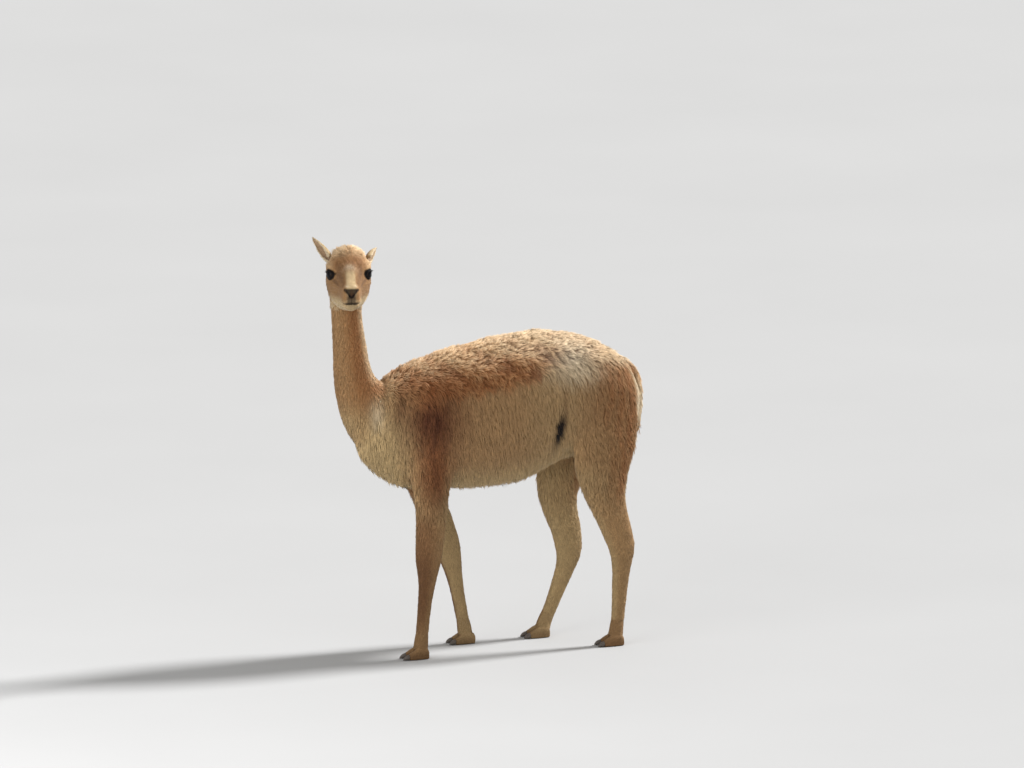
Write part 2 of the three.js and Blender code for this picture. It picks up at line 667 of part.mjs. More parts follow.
/** The locks along the lower edge of both flanks. */
function fringe() {
  const { start, end, step, from, to, run, droop, vary } = FRINGE;
  const locks = [];
  for (let y = start; y <= end; y += step) {
    [-1, 1].forEach((side) => {
      const place = y + vary.place * draw();
      locks.push(strand(torsoAt, LOCK, [place, side * from], [place + run, side * to],
        { ...FRINGE, droop: droop * (1 + vary.droop * draw()) }));
    });
  }
  return locks;
}

/** Locks at places and angles on a limb, each running along it. */
function limbLocks(rows, { places: starts, angles, run, ...size }, grow = 0) {
  const gap = angles[1] - angles[0];
  const form = (place, angle, rise) => limbAt(rows, place, angle, rise);
  return starts.flatMap((place, row) => angles.map((angle) => {
    const turned = angle + ((row % 2) * gap) / 2 + gap * LOCK_SWAY * Math.sin(place + angle);
    return strand(form, LOCK, [place, turned], [place + run, turned], { ...size, grow });
  }));
}

/** The woolly clumps on top of the head, grown all round. */
function crown(grow) {
  const { places: starts, angles, shift, sway, run, spread, ...size } = CROWN;
  return starts.flatMap((place, row) => angles.map((angle) => {
    const turn = angle + (row % 2) * shift + sway * Math.sin(row + angle);
    return strand(crownAt, CLUMP, [place + run / 2, turn], [place - run, turn * spread], { ...size, grow });
  }));
}

/** A toe's or nail's rings as a body, turned out and set beside its neighbour. */
function setBeside(rings, side) {
  const body = loft(rings);
  body.rotateZ(radians(side * TOE_SPLAY));
  body.translate(side * TOE.apart, 0, 0);
  return body;
}

/** One toe's pad and knuckle, flat below, cut square in front for its nail. */
function toe(side) {
  const { length, heel, halfWidth, height, tipHeight, sides } = TOE;
  return setBeside(TOE_FORM.map(([share, wide, tall]) => {
    const z = Math.max(tall * height, tipHeight);
    return oval(sides, TOE_SQUARENESS, (across, up) => vector(across * wide * halfWidth,
      heel - share * length, Math.max(0, z * (TOE_FLAT + (1 - TOE_FLAT) * up))));
  }), side);
}

/** One nail, set square against its toe. */
function nail(side) {
  const { length, halfWidth, height, lift, sides } = NAIL;
  return setBeside(NAIL_FORM.map(([share, wide, tall]) => oval(sides, NAIL_SQUARENESS,
    (across, up) => vector(across * wide * halfWidth, TOE.heel - TOE.length - GAP - share * length,
      lift + (tall * height * (up + 1)) / 2))), side);
}

/** A leg with its foot, from the sole to inside the body. */
function legWhole({ girth, foot, axis }) {
  const rows = places(axis, LEG_RINGS).map((place) => [...along(axis, place), ...along(girth, place)]);
  const toes = [-1, 1].map((side) => solid(toe(side).translate(foot[0], foot[1], 0)));
  return join([limb(rows, LEG_RINGS, LEG_SIDES), ...toes]);
}

const tailRows = TAIL.map(([y, z, thick, wide]) => [0, y, z, thick, wide]);

/** The tail with its locks, grown all round. */
function tailWhole(grow) {
  return join([limb(tailRows, TAIL_RINGS, TAIL_SIDES, grow), ...limbLocks(tailRows, TAIL_LOCKS, grow)]);
}

/** A mesh in the group from a solid. */
function addPart(group, name, body, material) {
  const { numProp, vertProperties, triVerts } = largest(body).getMesh();
  const geometry = new THREE.BufferGeometry();
  const position = new Float32Array((vertProperties.length / numProp) * 3);
  for (let i = 0; i < position.length / 3; i += 1) {
    position.set(vertProperties.subarray(i * numProp, i * numProp + 3), i * 3);
  }
  geometry.setAttribute('position', new THREE.BufferAttribute(position, 3));
  geometry.setIndex(Array.from(triVerts));
  geometry.computeVertexNormals();
  const mesh = new THREE.Mesh(geometry, material);
  mesh.name = name;
  group.add(mesh);
}

/** The whole body, parted where its named parts meet. */
function vicuna() {
  const group = new THREE.Group();
  const legs = Object.fromEntries(Object.entries(LEGS).map(([name, leg]) => [name, legWhole(leg)]));
  const trunk = join([torsoForm(-COAT_RISE), ...Object.values(legs)]);
  const coat = join([...fleece(), ...bib(), ...fringe(), ...limbLocks(NECK, NECK_LOCKS)]);

  const [[y1, z1], [y2, z2]] = NECK_CUT;
  const neckNormal = vector(0, z2 - z1, y1 - y2).normalize();
  const [front, behind] = partAt(join([trunk, neckForm(0), coat]), vector(0, y1, z1), neckNormal);

  const [[f1, v1], [f2, v2]] = HEAD_CUT;
  const nape = headPoint(f2, 0, v2).sub(headPoint(f1, 0, v1)).normalize();
  const headNormal = nape.clone().cross(leftward).normalize();
  if (headNormal.z < 0) headNormal.negate();
  const top = front.add(headWhole()).subtract(eyeBall(1, GAP)).subtract(eyeBall(-1, GAP));
  const [head, neck] = partAt(top, headPoint(f1, 0, v1), headNormal);

  let torso = behind.subtract(tailWhole(GAP));
  Object.entries(LEGS).forEach(([name, leg]) => {
    const side = Math.sign(leg.foot[0]);
    addPart(group, name, trunk.intersect(legWedge(WEDGES[name], side, 0)), PALE);
    torso = torso.subtract(legWedge(WEDGES[name], side, GAP));
    [-1, 1].forEach((which) => {
      const place = which === side ? 'outer' : 'inner';
      const body = solid(nail(which).translate(leg.foot[0], leg.foot[1], 0));
      addPart(group, `nail_${name}_${place}`, body, HORN);
    });
  });
  addPart(group, 'torso', torso, COAT);
  addPart(group, 'neck', neck, COAT);
  addPart(group, 'head', head, COAT);
  addPart(group, 'ear_left', ear(EAR_LEFT), COAT);
  addPart(group, 'ear_right', ear(EAR_RIGHT), COAT);
  addPart(group, 'eye_left', eyeBall(1, 0), EYE);
  addPart(group, 'eye_right', eyeBall(-1, 0), EYE);
  addPart(group, 'tail', tailWhole(0), COAT);
  return group;
}

const model = vicuna();
const box = new THREE.Box3().setFromObject(model);
const middle = box.getCenter(vector(0, 0, 0));
model.position.set(-middle.x, -middle.y, -box.min.z);

export default model;
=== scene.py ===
"""A standing vicuna with its head turned to its left: skin, coat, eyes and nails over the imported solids.

Sizes and places are in millimetres in the animal's own frame, where +Z is up, the body faces -Y, its left
side is +X and the soles stand on Z = 0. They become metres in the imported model's frame
as each mesh is made.
"""

from __future__ import annotations

import logging
import math
from collections.abc import Callable
from dataclasses import astuple, dataclass, field
from enum import Enum

import bmesh
import bpy
import numpy as np
from mathutils import Matrix, Vector
from mathutils.kdtree import KDTree


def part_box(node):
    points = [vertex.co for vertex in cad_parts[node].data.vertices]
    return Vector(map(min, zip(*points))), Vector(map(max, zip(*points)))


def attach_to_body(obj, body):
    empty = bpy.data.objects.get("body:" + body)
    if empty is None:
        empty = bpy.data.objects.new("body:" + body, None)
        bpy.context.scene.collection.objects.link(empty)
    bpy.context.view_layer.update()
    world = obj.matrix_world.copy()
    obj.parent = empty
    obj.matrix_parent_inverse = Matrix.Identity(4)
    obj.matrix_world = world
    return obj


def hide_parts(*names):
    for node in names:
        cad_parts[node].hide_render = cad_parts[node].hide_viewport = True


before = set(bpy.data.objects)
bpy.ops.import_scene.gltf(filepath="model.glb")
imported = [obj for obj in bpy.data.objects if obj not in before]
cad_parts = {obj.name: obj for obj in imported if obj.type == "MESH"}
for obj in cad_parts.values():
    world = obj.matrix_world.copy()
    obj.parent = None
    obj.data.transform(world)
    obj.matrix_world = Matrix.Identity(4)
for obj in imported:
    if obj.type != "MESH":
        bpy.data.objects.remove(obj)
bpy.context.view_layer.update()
LOG = logging.getLogger("vicuna")
BODY = "root"
MILLIMETRES = 1000.0
SEED = 11

Array = np.ndarray
Rows = tuple[tuple[float, ...], ...]
Point = tuple[float, float, float]
Colour = tuple[int, int, int]


def unit(vectors: Array) -> Array:
    """Vectors, whose X, Y and Z are the last axis, brought to a length of 1."""
    return vectors / np.maximum(np.linalg.norm(vectors, axis=-1, keepdims=True), 1e-9)


def ease(low: float, high: float, value: Array) -> Array:
    """A smooth step from 0 where value is low to 1 where it is high, which may be the lower number."""
    t = np.clip((value - low) / (high - low), 0.0, 1.0)
    return t * t * (3.0 - 2.0 * t)


def blot(points: Array, centre: tuple[float, ...], size: tuple[float, ...]) -> Array:
    """A soft patch that is 1 at its centre and fades past its size along each axis."""
    return np.exp(-(((points - np.asarray(centre)) / np.asarray(size)) ** 2).sum(-1))


def ridge(value: Array, reach: float | Array) -> Array:
    """A soft band that is 1 where value is 0 and fades past its reach."""
    return np.exp(-((value / reach) ** 2))


def along(rows: Rows | Array, places: Array | float) -> Array:
    """Reads a table at places in its first column, on a smooth curve through its rows.

    Args:
        rows: The table, its first column rising.
        places: Where it is read.

    Returns:
        One row of the other columns for each place.
    """
    table = np.asarray(rows, float)
    at, values = table[:, 0], table[:, 1:]
    last = len(at) - 1
    where = np.clip(np.atleast_1d(np.asarray(places, float)), at[0], at[-1])
    i = np.clip(np.searchsorted(at, where) - 1, 0, last - 1)
    before, after = np.maximum(i - 1, 0), np.minimum(i + 2, last)
    span = at[i + 1] - at[i]
    t = ((where - at[i]) / span)[:, None]
    slope = (values[i + 1] - values[before]) * (span / (at[i + 1] - at[before]))[:, None]
    slope_after = (values[after] - values[i]) * (span / (at[after] - at[i]))[:, None]
    t2, t3 = t * t, t * t * t
    return (
        (2 * t3 - 3 * t2 + 1) * values[i]
        + (t3 - 2 * t2 + t) * slope
        + (3 * t2 - 2 * t3) * values[i + 1]
        + (t3 - t2) * slope_after
    )


def spread(rows: Rows, count: int) -> Array:
    """Places from a table's first row to its last, closer together where its rows are."""
    first = [row[0] for row in rows]
    return np.interp(np.linspace(0, len(rows) - 1, count), np.arange(len(rows)), first)


def oval(sides: int, exponent: float) -> tuple[Array, Array]:
    """Across and up on a rounded-square oval.

    Args:
        sides: How many points it has.
        exponent: 2 for an ellipse, more for squarer corners.

    Returns:
        The across and the up of each point, from -1 to 1.
    """
    angle = 2 * np.pi * (np.arange(sides) + 0.5) / sides
    c, s = np.cos(angle), np.sin(angle)
    return np.sign(c) * np.abs(c) ** (2 / exponent), np.sign(s) * np.abs(s) ** (2 / exponent)


def linear(red: int, green: int, blue: int) -> Array:
    """A screen colour, each value from 0 to 255, as the shaders' linear one."""
    share = np.array([red, green, blue]) / 255.0
    return np.where(share <= 0.04045, share / 12.92, ((share + 0.055) / 1.055) ** 2.4)


def mix(first: Array, second: Array, share: Array) -> Array:
    """Blends rows, giving the first where share is 0 and the second where it is 1."""
    weight = np.clip(share, 0.0, 1.0)[:, None]
    return first * (1 - weight) + second * weight


def lumps(points: Array) -> Array:
    """Soft uneven lumps in space, like those of clumped wool.

    Args:
        points: The points where they are read.

    Returns:
        Heights from about -1 to 1.
    """
    x, y, z = points.T
    bend = 9 * np.sin(x / 23 + z / 31) + 7 * np.sin(y / 19 + x / 37)
    wide = np.sin((y + bend) / 8.5) * np.sin((x + 0.6 * bend) / 9.0 + np.sin(z / 17))
    wide += np.sin((z - bend) / 10.5 + y / 29)
    fine = np.sin((y - bend) / 4.3 + z / 9) * np.sin((x + z) / 5.1 + 1.3)
    return 0.45 * wide + 0.25 * fine


@dataclass
class Stand:
    """Where the animal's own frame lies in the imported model."""

    eyes: Point = (49.0, -780.5, 1111.5)
    turn: float = 74.0
    eye_forward: float = 5.0
    eye_out: float = 43.5

    def __post_init__(self) -> None:
        """Works out the head's directions and the frame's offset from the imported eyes."""
        angle = math.radians(self.turn)
        self.forward = np.array([math.sin(angle), -math.cos(angle), 0.0])
        self.leftward = np.array([math.cos(angle), math.sin(angle), 0.0])
        self.axes = np.stack([self.forward, self.leftward, np.array([0.0, 0.0, 1.0])])
        boxes = [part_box(name) for name in ("eye_left", "eye_right")]
        packed = sum((Vector(low) + Vector(high) for low, high in boxes), Vector()) / 4
        designed = self.head_point([self.eye_forward, 0.0, 0.0])
        self.offset = np.array(packed) * MILLIMETRES - designed

    def head_point(self, places: Array | list[float]) -> Array:
        """Points of the frame from places forward, left and up of the eyes' midpoint."""
        return np.asarray(self.eyes) + np.asarray(places, float) @ self.axes

    def head_places(self, points: Array) -> Array:
        """Points of the frame as places forward, left and up of the eyes' midpoint."""
        return (points - np.asarray(self.eyes)) @ self.axes.T

    def metres(self, points: Array) -> Array:
        """Points of the animal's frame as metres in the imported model's frame."""
        return (np.asarray(points) + self.offset) / MILLIMETRES

    def millimetres(self, points: Array) -> Array:
        """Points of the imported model's frame as millimetres in the animal's frame."""
        return np.asarray(points) * MILLIMETRES - self.offset


STAND = Stand()


def deselect() -> None:
    """Leaves edit mode and selects nothing."""
    if bpy.context.object and bpy.context.object.mode != "OBJECT":
        bpy.ops.object.mode_set(mode="OBJECT")
    bpy.ops.object.select_all(action="DESELECT")


def select(*pieces: bpy.types.Object) -> None:
    """Selects these pieces alone and makes the first one active."""
    deselect()
    for piece in pieces:
        piece.select_set(True)
    bpy.context.view_layer.objects.active = pieces[0]


def apply(piece: bpy.types.Object, kind: str, **settings: object) -> None:
    """Adds a modifier to a piece and applies it.

    Args:
        piece: The piece.
        kind: The modifier's type.
        settings: Its values by name.
    """
    select(piece)
    modifier = piece.modifiers.new(kind.title(), kind)
    for name, value in settings.items():
        setattr(modifier, name, value)
    bpy.ops.object.modifier_apply(modifier=modifier.name)


def merge(name: str, pieces: list[bpy.types.Object]) -> bpy.types.Object:
    """Joins pieces into one object.

    Args:
        name: The joined object's name.
        pieces: What is joined.

    Returns:
        The joined object.
    """
    select(*pieces)
    if len(pieces) > 1:
        bpy.ops.object.join()
    joined = bpy.context.object
    joined.name = joined.data.name = name
    return joined


def put(name: str, data: bpy.types.ID) -> bpy.types.Object:
    """Puts a mesh, a light or a camera into the scene.

    Args:
        name: The new object's name.
        data: The mesh, light or camera.

    Returns:
        The object.
    """
    made = bpy.data.objects.new(name, data)
    bpy.context.scene.collection.objects.link(made)
    return made


def edit(piece: bpy.types.Object, *steps: Callable[[], object]) -> None:
    """Takes steps on all of a piece's faces in edit mode.

    Args:
        piece: The piece.
        steps: What is done, in turn.
    """
    select(piece)
    bpy.ops.object.mode_set(mode="EDIT")
    bpy.ops.mesh.select_all(action="SELECT")
    for step in steps:
        step()
    bpy.ops.object.mode_set(mode="OBJECT")


def reform(piece: bpy.types.Object, points: Array) -> None:
    """Moves a piece's vertices to points of the animal's frame."""
    piece.data.vertices.foreach_set("co", STAND.metres(points).ravel())
    piece.data.update()


def attach(mesh: bpy.types.Mesh, name: str, kind: str, values: Array) -> None:
    """Gives a mesh's vertices an attribute.

    Args:
        mesh: The mesh.
        name: The attribute's name.
        kind: Its type.
        values: Its values, a row for each vertex.
    """
    key = {"FLOAT_COLOR": "color", "FLOAT_VECTOR": "vector"}.get(kind, "value")
    flat = np.asarray(values, np.int32 if kind == "INT" else np.float32).ravel()
    mesh.attributes.new(name, kind, "POINT").data.foreach_set(key, flat)


def triangles(piece: bpy.types.Object) -> int:
    """How many triangles a piece's mesh makes."""
    piece.data.calc_loop_triangles()
    return len(piece.data.loop_triangles)


def remesh(piece: bpy.types.Object, voxel: float, smooth: int) -> None:
    """Fuses a piece's shells into one even skin of faces of the voxel's size, and smooths it."""
    apply(piece, "REMESH", mode="VOXEL", voxel_size=voxel / MILLIMETRES)
    apply(piece, "SMOOTH", factor=0.5, iterations=smooth)


def loft(name: str, rings: list[Array]) -> bpy.types.Object:
    """A closed skin drawn out from a filled circle, ring by ring.

    Args:
        name: The object's name.
        rings: The rings' points in the animal's frame, each ring with as many points.

    Returns:
        The closed object, its faces pointing out.
    """
    deselect()
    bpy.ops.mesh.primitive_circle_add(
        vertices=len(rings[0]), radius=1, fill_type="NGON", enter_editmode=True
    )
    piece = bpy.context.object
    piece.name = name
    chain = list(bmesh.from_edit_mesh(piece.data).verts)
    for step, ring in enumerate(STAND.metres(np.asarray(rings))):
        if step:
            corners = [tuple(vertex.co) for vertex in chain]
            bpy.ops.mesh.extrude_region_move()
            drawn = [v for v in bmesh.from_edit_mesh(piece.data).verts if v.select]
            by_place = {tuple(vertex.co): vertex for vertex in drawn}
            chain = [by_place[corner] for corner in corners]
        for vertex, point in zip(chain, ring):
            vertex.co = point
    bpy.ops.mesh.select_all(action="SELECT")
    bpy.ops.mesh.normals_make_consistent(inside=False)
    deselect()
    return piece


def ball(name: str, places: Array | Point, radii: Point, dip: float = 0.0) -> bpy.types.Object:
    """A ball in the head's own directions, squashed and dipped forward.

    Args:
        name: The object's name.
        places: Its middle forward, left and up of the eyes' midpoint.
        radii: Its radii forward, left and up.
        dip: Degrees that its front dips.

    Returns:
        The ball.
    """
    deselect()
    bpy.ops.mesh.primitive_uv_sphere_add(segments=32, ring_count=20, radius=1)
    piece = bpy.context.object
    piece.name = name
    turn = Matrix(STAND.axes.T.tolist()).to_4x4() @ Matrix.Rotation(math.radians(dip), 4, "Y")
    size = Matrix.Diagonal((*(r / MILLIMETRES for r in radii), 1.0))
    centre = Matrix.Translation(STAND.metres(STAND.head_point(places)))
    piece.data.transform(centre @ turn @ size)
    return piece


def limb_rings(rows: Array, places: Array, sides: int) -> list[Array]:
    """Round rings that stand square to a limb's axis.

    Args:
        rows: The limb's rows of X, Y, Z, half depth and half width.
        places: Where the rings are, counted in rows.
        sides: How many points a ring has.

    Returns:
        The rings.
    """
    table = np.column_stack([np.arange(len(rows)), rows])
    step = 0.3
    centre, size = np.split(along(table, places), [3], axis=1)
    ahead = unit(along(table, places + step)[:, :3] - along(table, places - step)[:, :3])
    front = unit(np.cross(ahead, [1.0, 0.0, 0.0]))
    side = np.cross(front, ahead)
    angle = 2 * np.pi * (np.arange(sides) + 0.5) / sides
    across, up = np.sin(angle), np.cos(angle)
    return [
        c + np.outer(across * s[1], w) + np.outer(up * s[0], f)
        for c, s, w, f in zip(centre, size, side, front)
    ]


@dataclass
class Torso:
    """The chest, back and belly."""

    rows: Rows = (
        (-758, 672, 624, 20),
        (-745, 704, 578, 55),
        (-718, 748, 541, 80),
        (-680, 789, 508, 96),
        (-620, 826, 478, 110),
        (-560, 848, 467, 119),
        (-490, 869, 462, 128),
        (-400, 885, 460, 138),
        (-310, 900, 463, 144),
        (-250, 906, 471, 143),
        (-190, 909, 496, 138),
        (-130, 904, 522, 134),
        (-80, 894, 531, 132),
        (-35, 880, 536, 128),
        (10, 855, 541, 120),
        (55, 825, 551, 103),
        (84, 791, 574, 81),
        (102, 748, 612, 53),
        (109, 708, 652, 22),
    )
    squareness: float = 2.25
    taper: float = 0.24
    depth: float = 14.5

    def build(self) -> bpy.types.Object:
        """Draws the torso's skin, below the fleece by its depth.

        Returns:
            The closed form.
        """
        first, last = self.rows[0][0], self.rows[-1][0]
        across, up = oval(40, self.squareness)
        rings = []
        for y in spread(self.rows, 48):
            top, bottom, width = along(self.rows, y)[0]
            half = max((top - bottom) / 2 - self.depth, 1.0)
            narrowing = 1 - self.taper * np.maximum(0, -up) ** 1.5
            place = y - self.depth * (2 * y - first - last) / (last - first)
            x = max(width - self.depth, 1.0) * across * narrowing
            rings.append(np.column_stack([x, np.full_like(x, place), (top + bottom) / 2 + half * up]))
        return loft("torso_form", rings)


@dataclass
class Neck:
    """The neck, from inside the chest to inside the skull."""

    rows: Rows = (
        (0, -590, 655, 150, 92),
        (0, -655, 680, 128, 86),
        (0, -706, 714, 98, 76),
        (0, -740, 770, 70, 62),
        (0, -755, 830, 58, 53),
        (-1, -762, 900, 52, 48),
        (-4, -768, 970, 48, 46),
        (-8, -769, 1030, 49, 48),
        (-10, -769, 1075, 50, 49),
    )
    depths: Rows = ((0, 17), (2, 13), (3, 9), (4, 7), (8, 7))
    cut: Rows = ((-683, 800), (-778, 596))

    def build(self, start: float, end: float, tuck: float = 0.0) -> bpy.types.Object:
        """Draws a stretch of the neck's skin.

        Args:
            start: Its first place among the rows.
            end: Its last place.
            tuck: How much slimmer it is than the coat's depth makes it.

        Returns:
            The closed form.
        """
        rows = np.asarray(self.rows, float)
        rows[:, 3:] -= along(self.depths, np.arange(len(rows))) + tuck
        places = np.linspace(start, end, int((end - start) * 5) + 2)
        return loft("neck_form", limb_rings(rows, places, 32))

    def share(self, points: Array) -> Array:
        """How much each point belongs to the neck, from 0 to 1."""
        (y1, z1), (y2, z2) = self.cut
        away = np.array([0.0, z2 - z1, y1 - y2])
        away = away / np.linalg.norm(away)
        return ease(-35, 45, (points - np.array([0.0, y1, z1])) @ away)


@dataclass
class Leg:
    """One leg's skin above its foot, with its girth by place: 0 at the sole, 1 at the knee or hock."""

    name: str
    girth: Rows
    axis: Rows
    foot: tuple[float, float]
    depths: Rows

    def rows(self, places: Array) -> Array:
        """The skin's axis and girth.

        Args:
            places: Where they are read.

        Returns:
            Rows of X, Y, Z, half depth and half width.
        """
        size = along(self.girth, places) - along(self.depths, places)
        return np.column_stack([along(self.axis, places), size])

    def build(self, start: float, end: float, tuck: float = 0.0) -> bpy.types.Object:
        """Draws a stretch of the leg.

        Args:
            start: Its first place.
            end: Its last place.
            tuck: How much it narrows towards its end.

        Returns:
            The closed form.
        """
        rows = self.rows(np.linspace(start, end, 26))
        rows[:, 3:] -= tuck * np.linspace(0, 1, 26)[:, None] ** 2
        return loft(f"{self.name}_form", limb_rings(rows, np.arange(len(rows), dtype=float), 28))

    def near(self, points: Array) -> tuple[Array, Array, Array]:
        """Where points lie beside the leg.

        Args:
            points: The points.

        Returns:
            How far out they are as a share of the girth, their place and the axis's direction there.
        """
        places = np.linspace(0.1, 2.0, 70)
        rows = self.rows(places)
        apart = np.linalg.norm(points[:, None, :] - rows[None, :, :3], axis=2)
        nearest = apart.argmin(1)
        down = unit(-np.gradient(rows[:, :3], axis=0))
        size = rows[nearest, 3:].mean(1)
        return apart[np.arange(len(points)), nearest] / size, places[nearest], down[nearest]


FORE_GIRTH: Rows = (
    (0.1, 23.5, 22.5),
    (0.17, 23, 21),
    (0.32, 21.5, 19.5),
    (0.56, 23, 21),
    (0.78, 29, 25.5),
    (1, 41, 32),
    (1.2, 43.5, 35),
    (1.45, 46, 37),
    (1.62, 58, 40),
    (1.8, 80, 38),
    (2, 80, 36),
)
HIND_GIRTH: Rows = (
    (0.1, 24, 22.5),
    (0.17, 23, 21),
    (0.36, 22.5, 20.5),
    (0.62, 26.5, 22),
    (0.8, 31, 24),
    (0.9, 36, 26),
    (1, 42, 28),
    (1.12, 47, 32),
    (1.26, 53, 38),
    (1.38, 64, 44),
    (1.52, 86, 49),
    (1.7, 106, 49),
    (1.85, 104, 38),
    (2, 86, 34),
)
FORE_DEPTH: Rows = ((0, 3.0), (0.3, 3.4), (1, 4.0), (1.4, 5.0), (1.62, 9), (1.8, 14), (2, 16))
HIND_DEPTH: Rows = ((0, 3.0), (0.3, 3.4), (1, 4.0), (1.26, 5.5), (1.4, 8), (1.55, 12), (2, 16))
LEGS: tuple[Leg, ...] = (
    Leg("foreleg_left", FORE_GIRTH, (
        (0.1, 80, -579, 28), (0.17, 80, -577, 48), (0.32, 80, -573, 88), (0.56, 80, -566, 160),
        (0.78, 80, -559, 222), (1, 80, -555, 284), (1.2, 80, -551, 340), (1.45, 80, -547, 410),
        (1.62, 77, -543, 470), (1.8, 70, -546, 570), (2, 60, -556, 665)), (80, -581), FORE_DEPTH),
    Leg("foreleg_right", FORE_GIRTH, (
        (0.1, -80, -388, 28), (0.17, -80, -391, 48), (0.32, -80, -399, 88), (0.56, -80, -412, 155),
        (0.78, -80, -424, 215), (1, -80, -441, 282), (1.2, -80, -463, 343), (1.45, -80, -490, 410),
        (1.62, -77, -513, 470), (1.8, -70, -540, 570), (2, -60, -556, 665)), (-80, -385), FORE_DEPTH),
    Leg("hindleg_left", HIND_GIRTH, (
        (0.1, 90, 2, 28), (0.17, 90, 5, 48), (0.36, 90, 11, 100), (0.62, 90, 16, 176),
        (0.8, 90, 20, 226), (1, 90, 21, 281), (1.12, 90, 6, 331), (1.26, 90, -15, 392),
        (1.38, 90, -28, 438), (1.52, 88, -36, 505), (1.7, 84, -30, 590), (1.85, 74, -14, 665),
        (2, 62, -5, 735)), (90, 0), HIND_DEPTH),
    Leg("hindleg_right", HIND_GIRTH, (
        (0.1, -90, -151, 28), (0.17, -90, -144, 48), (0.36, -90, -124, 92), (0.62, -90, -101, 150),
        (0.8, -90, -84, 194), (1, -90, -72, 246), (1.12, -90, -80, 304), (1.26, -90, -97, 363),
        (1.38, -90, -105, 420), (1.52, -88, -92, 500), (1.7, -84, -55, 590), (1.85, -74, -25, 665),
        (2, -62, -8, 735)), (-90, -157), HIND_DEPTH),
)  # fmt: skip


@dataclass
class Tail:
    """The tail, hanging against the rump."""

    rows: Rows = (
        (0, 48, 806, 12, 18),
        (0, 82, 776, 14, 23),
        (0, 99, 735, 15, 28),
        (0, 103, 690, 14, 30),
        (0, 101, 640, 12, 27),
        (0, 98, 595, 9, 20),
        (0, 95, 562, 4, 9),
    )
    depth: float = 7.0
    bare_end: float = 4.6

    def build(self) -> bpy.types.Object:
        """Draws the tail's fleshy part, shorter than its hair.

        Returns:
            The closed form.
        """
        rows = np.asarray(self.rows, float)
        rows[:, 3:] = np.maximum(rows[:, 3:] - self.depth, 5.0)
        return loft("tail_form", limb_rings(rows, np.linspace(0, self.bare_end, 20), 20))

    def share(self, points: Array) -> Array:
        """How much each point belongs to the tail, from 0 to 1."""
        behind = ease(74, 96, points[:, 1])
        return behind * ease(40, 26, np.abs(points[:, 0])) * ease(812, 796, points[:, 2])


@dataclass
class Foot:
    """One foot with its two toes and their nails."""

    leg: Leg
    length: float = 62.0
    heel: float = 24.0
    apart: float = 12.6
    half_width: float = 11.6
    height: float = 36.0
    tip_height: float = 19.0
    splay: float = 3.0
    nail_length: float = 17.0
    nail_height: float = 15.0
    nail_half_width: float = 8.2
    nail_clear: float = 1.2
    nail_gap: float = 0.35
    sole_clear: float = 0.6
    depth: float = 1.6
    pastern: Point = (0.1, 0.46, 7.0)
    form: Rows = ((0, 0.66, 0.72), (0.14, 0.94, 0.95), (0.45, 1, 1), (0.8, 0.95, 0.72), (1, 0.8, 0.5))
    nail_form: Rows = ((0, 1, 1), (0.4, 0.86, 0.84), (0.75, 0.56, 0.56), (1, 0.16, 0.22))

    def beside(self, points: Array, side: int) -> Array:
        """A toe's points turned out and set beside its neighbour.

        Args:
            points: Points of a toe that lies on the foot's middle line.
            side: 1 for the left toe and -1 for the right.

        Returns:
            The points in the animal's frame.
        """
        angle = math.radians(side * self.splay)
        c, s = math.cos(angle), math.sin(angle)
        x, y, z = points.T
        foot_x, foot_y = self.leg.foot
        return np.column_stack([c * x - s * y + side * self.apart + foot_x, s * x + c * y + foot_y, z])

    def build(self) -> bpy.types.Object:
        """Draws both toes with the pastern above them as one skin.

        Returns:
            The fused form.
        """
        pieces = [self.leg.build(*self.pastern)]
        across, up = oval(24, 2.4)
        for side in (-1, 1):
            rings = []
            for share in np.linspace(0, 1, 14):
                wide, tall = along(self.form, share)[0]
                height = max(tall * self.height, self.tip_height) - self.depth
                x = across * wide * (self.half_width - self.depth)
                z = np.maximum(self.sole_clear, height * (0.42 + 0.58 * up))
                y = np.full_like(x, self.heel - self.depth - share * (self.length - 1.5 * self.depth))
                rings.append(self.beside(np.column_stack([x, y, z]), side))
            pieces.append(loft("toe_form", rings))
        foot = merge(f"{self.leg.name}_foot", pieces)
        remesh(foot, 2.3, 3)
        return foot

    def nails(self) -> list[bpy.types.Object]:
        """Draws the nails that replace the solids' own.

        Returns:
            The nails, each its own piece.
        """
        made = []
        across, up = oval(20, 2.3)
        for side in (-1, 1):
            rings = []
            for share in np.linspace(0, 1, 12):
                wide, tall = along(self.nail_form, share)[0]
                y = self.heel - self.length - self.nail_gap - share * self.nail_length
                x = across * wide * self.nail_half_width
                z = self.nail_clear + tall * self.nail_height * (up + 1) / 2
                rings.append(self.beside(np.column_stack([x, np.full_like(x, y), z]), side))
            body_side = 1 if self.leg.foot[0] > 0 else -1
            place = "outer" if side == body_side else "inner"
            nail = loft(f"horn_{self.leg.name}_{place}", rings)
            apply(nail, "BEVEL", width=0.0009, segments=2, limit_method="ANGLE", angle_limit=0.9)
            select(nail)
            bpy.ops.object.shade_smooth_by_angle(angle=0.7)
            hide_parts(f"nail_{self.leg.name}_{place}")
            made.append(nail)
        return made


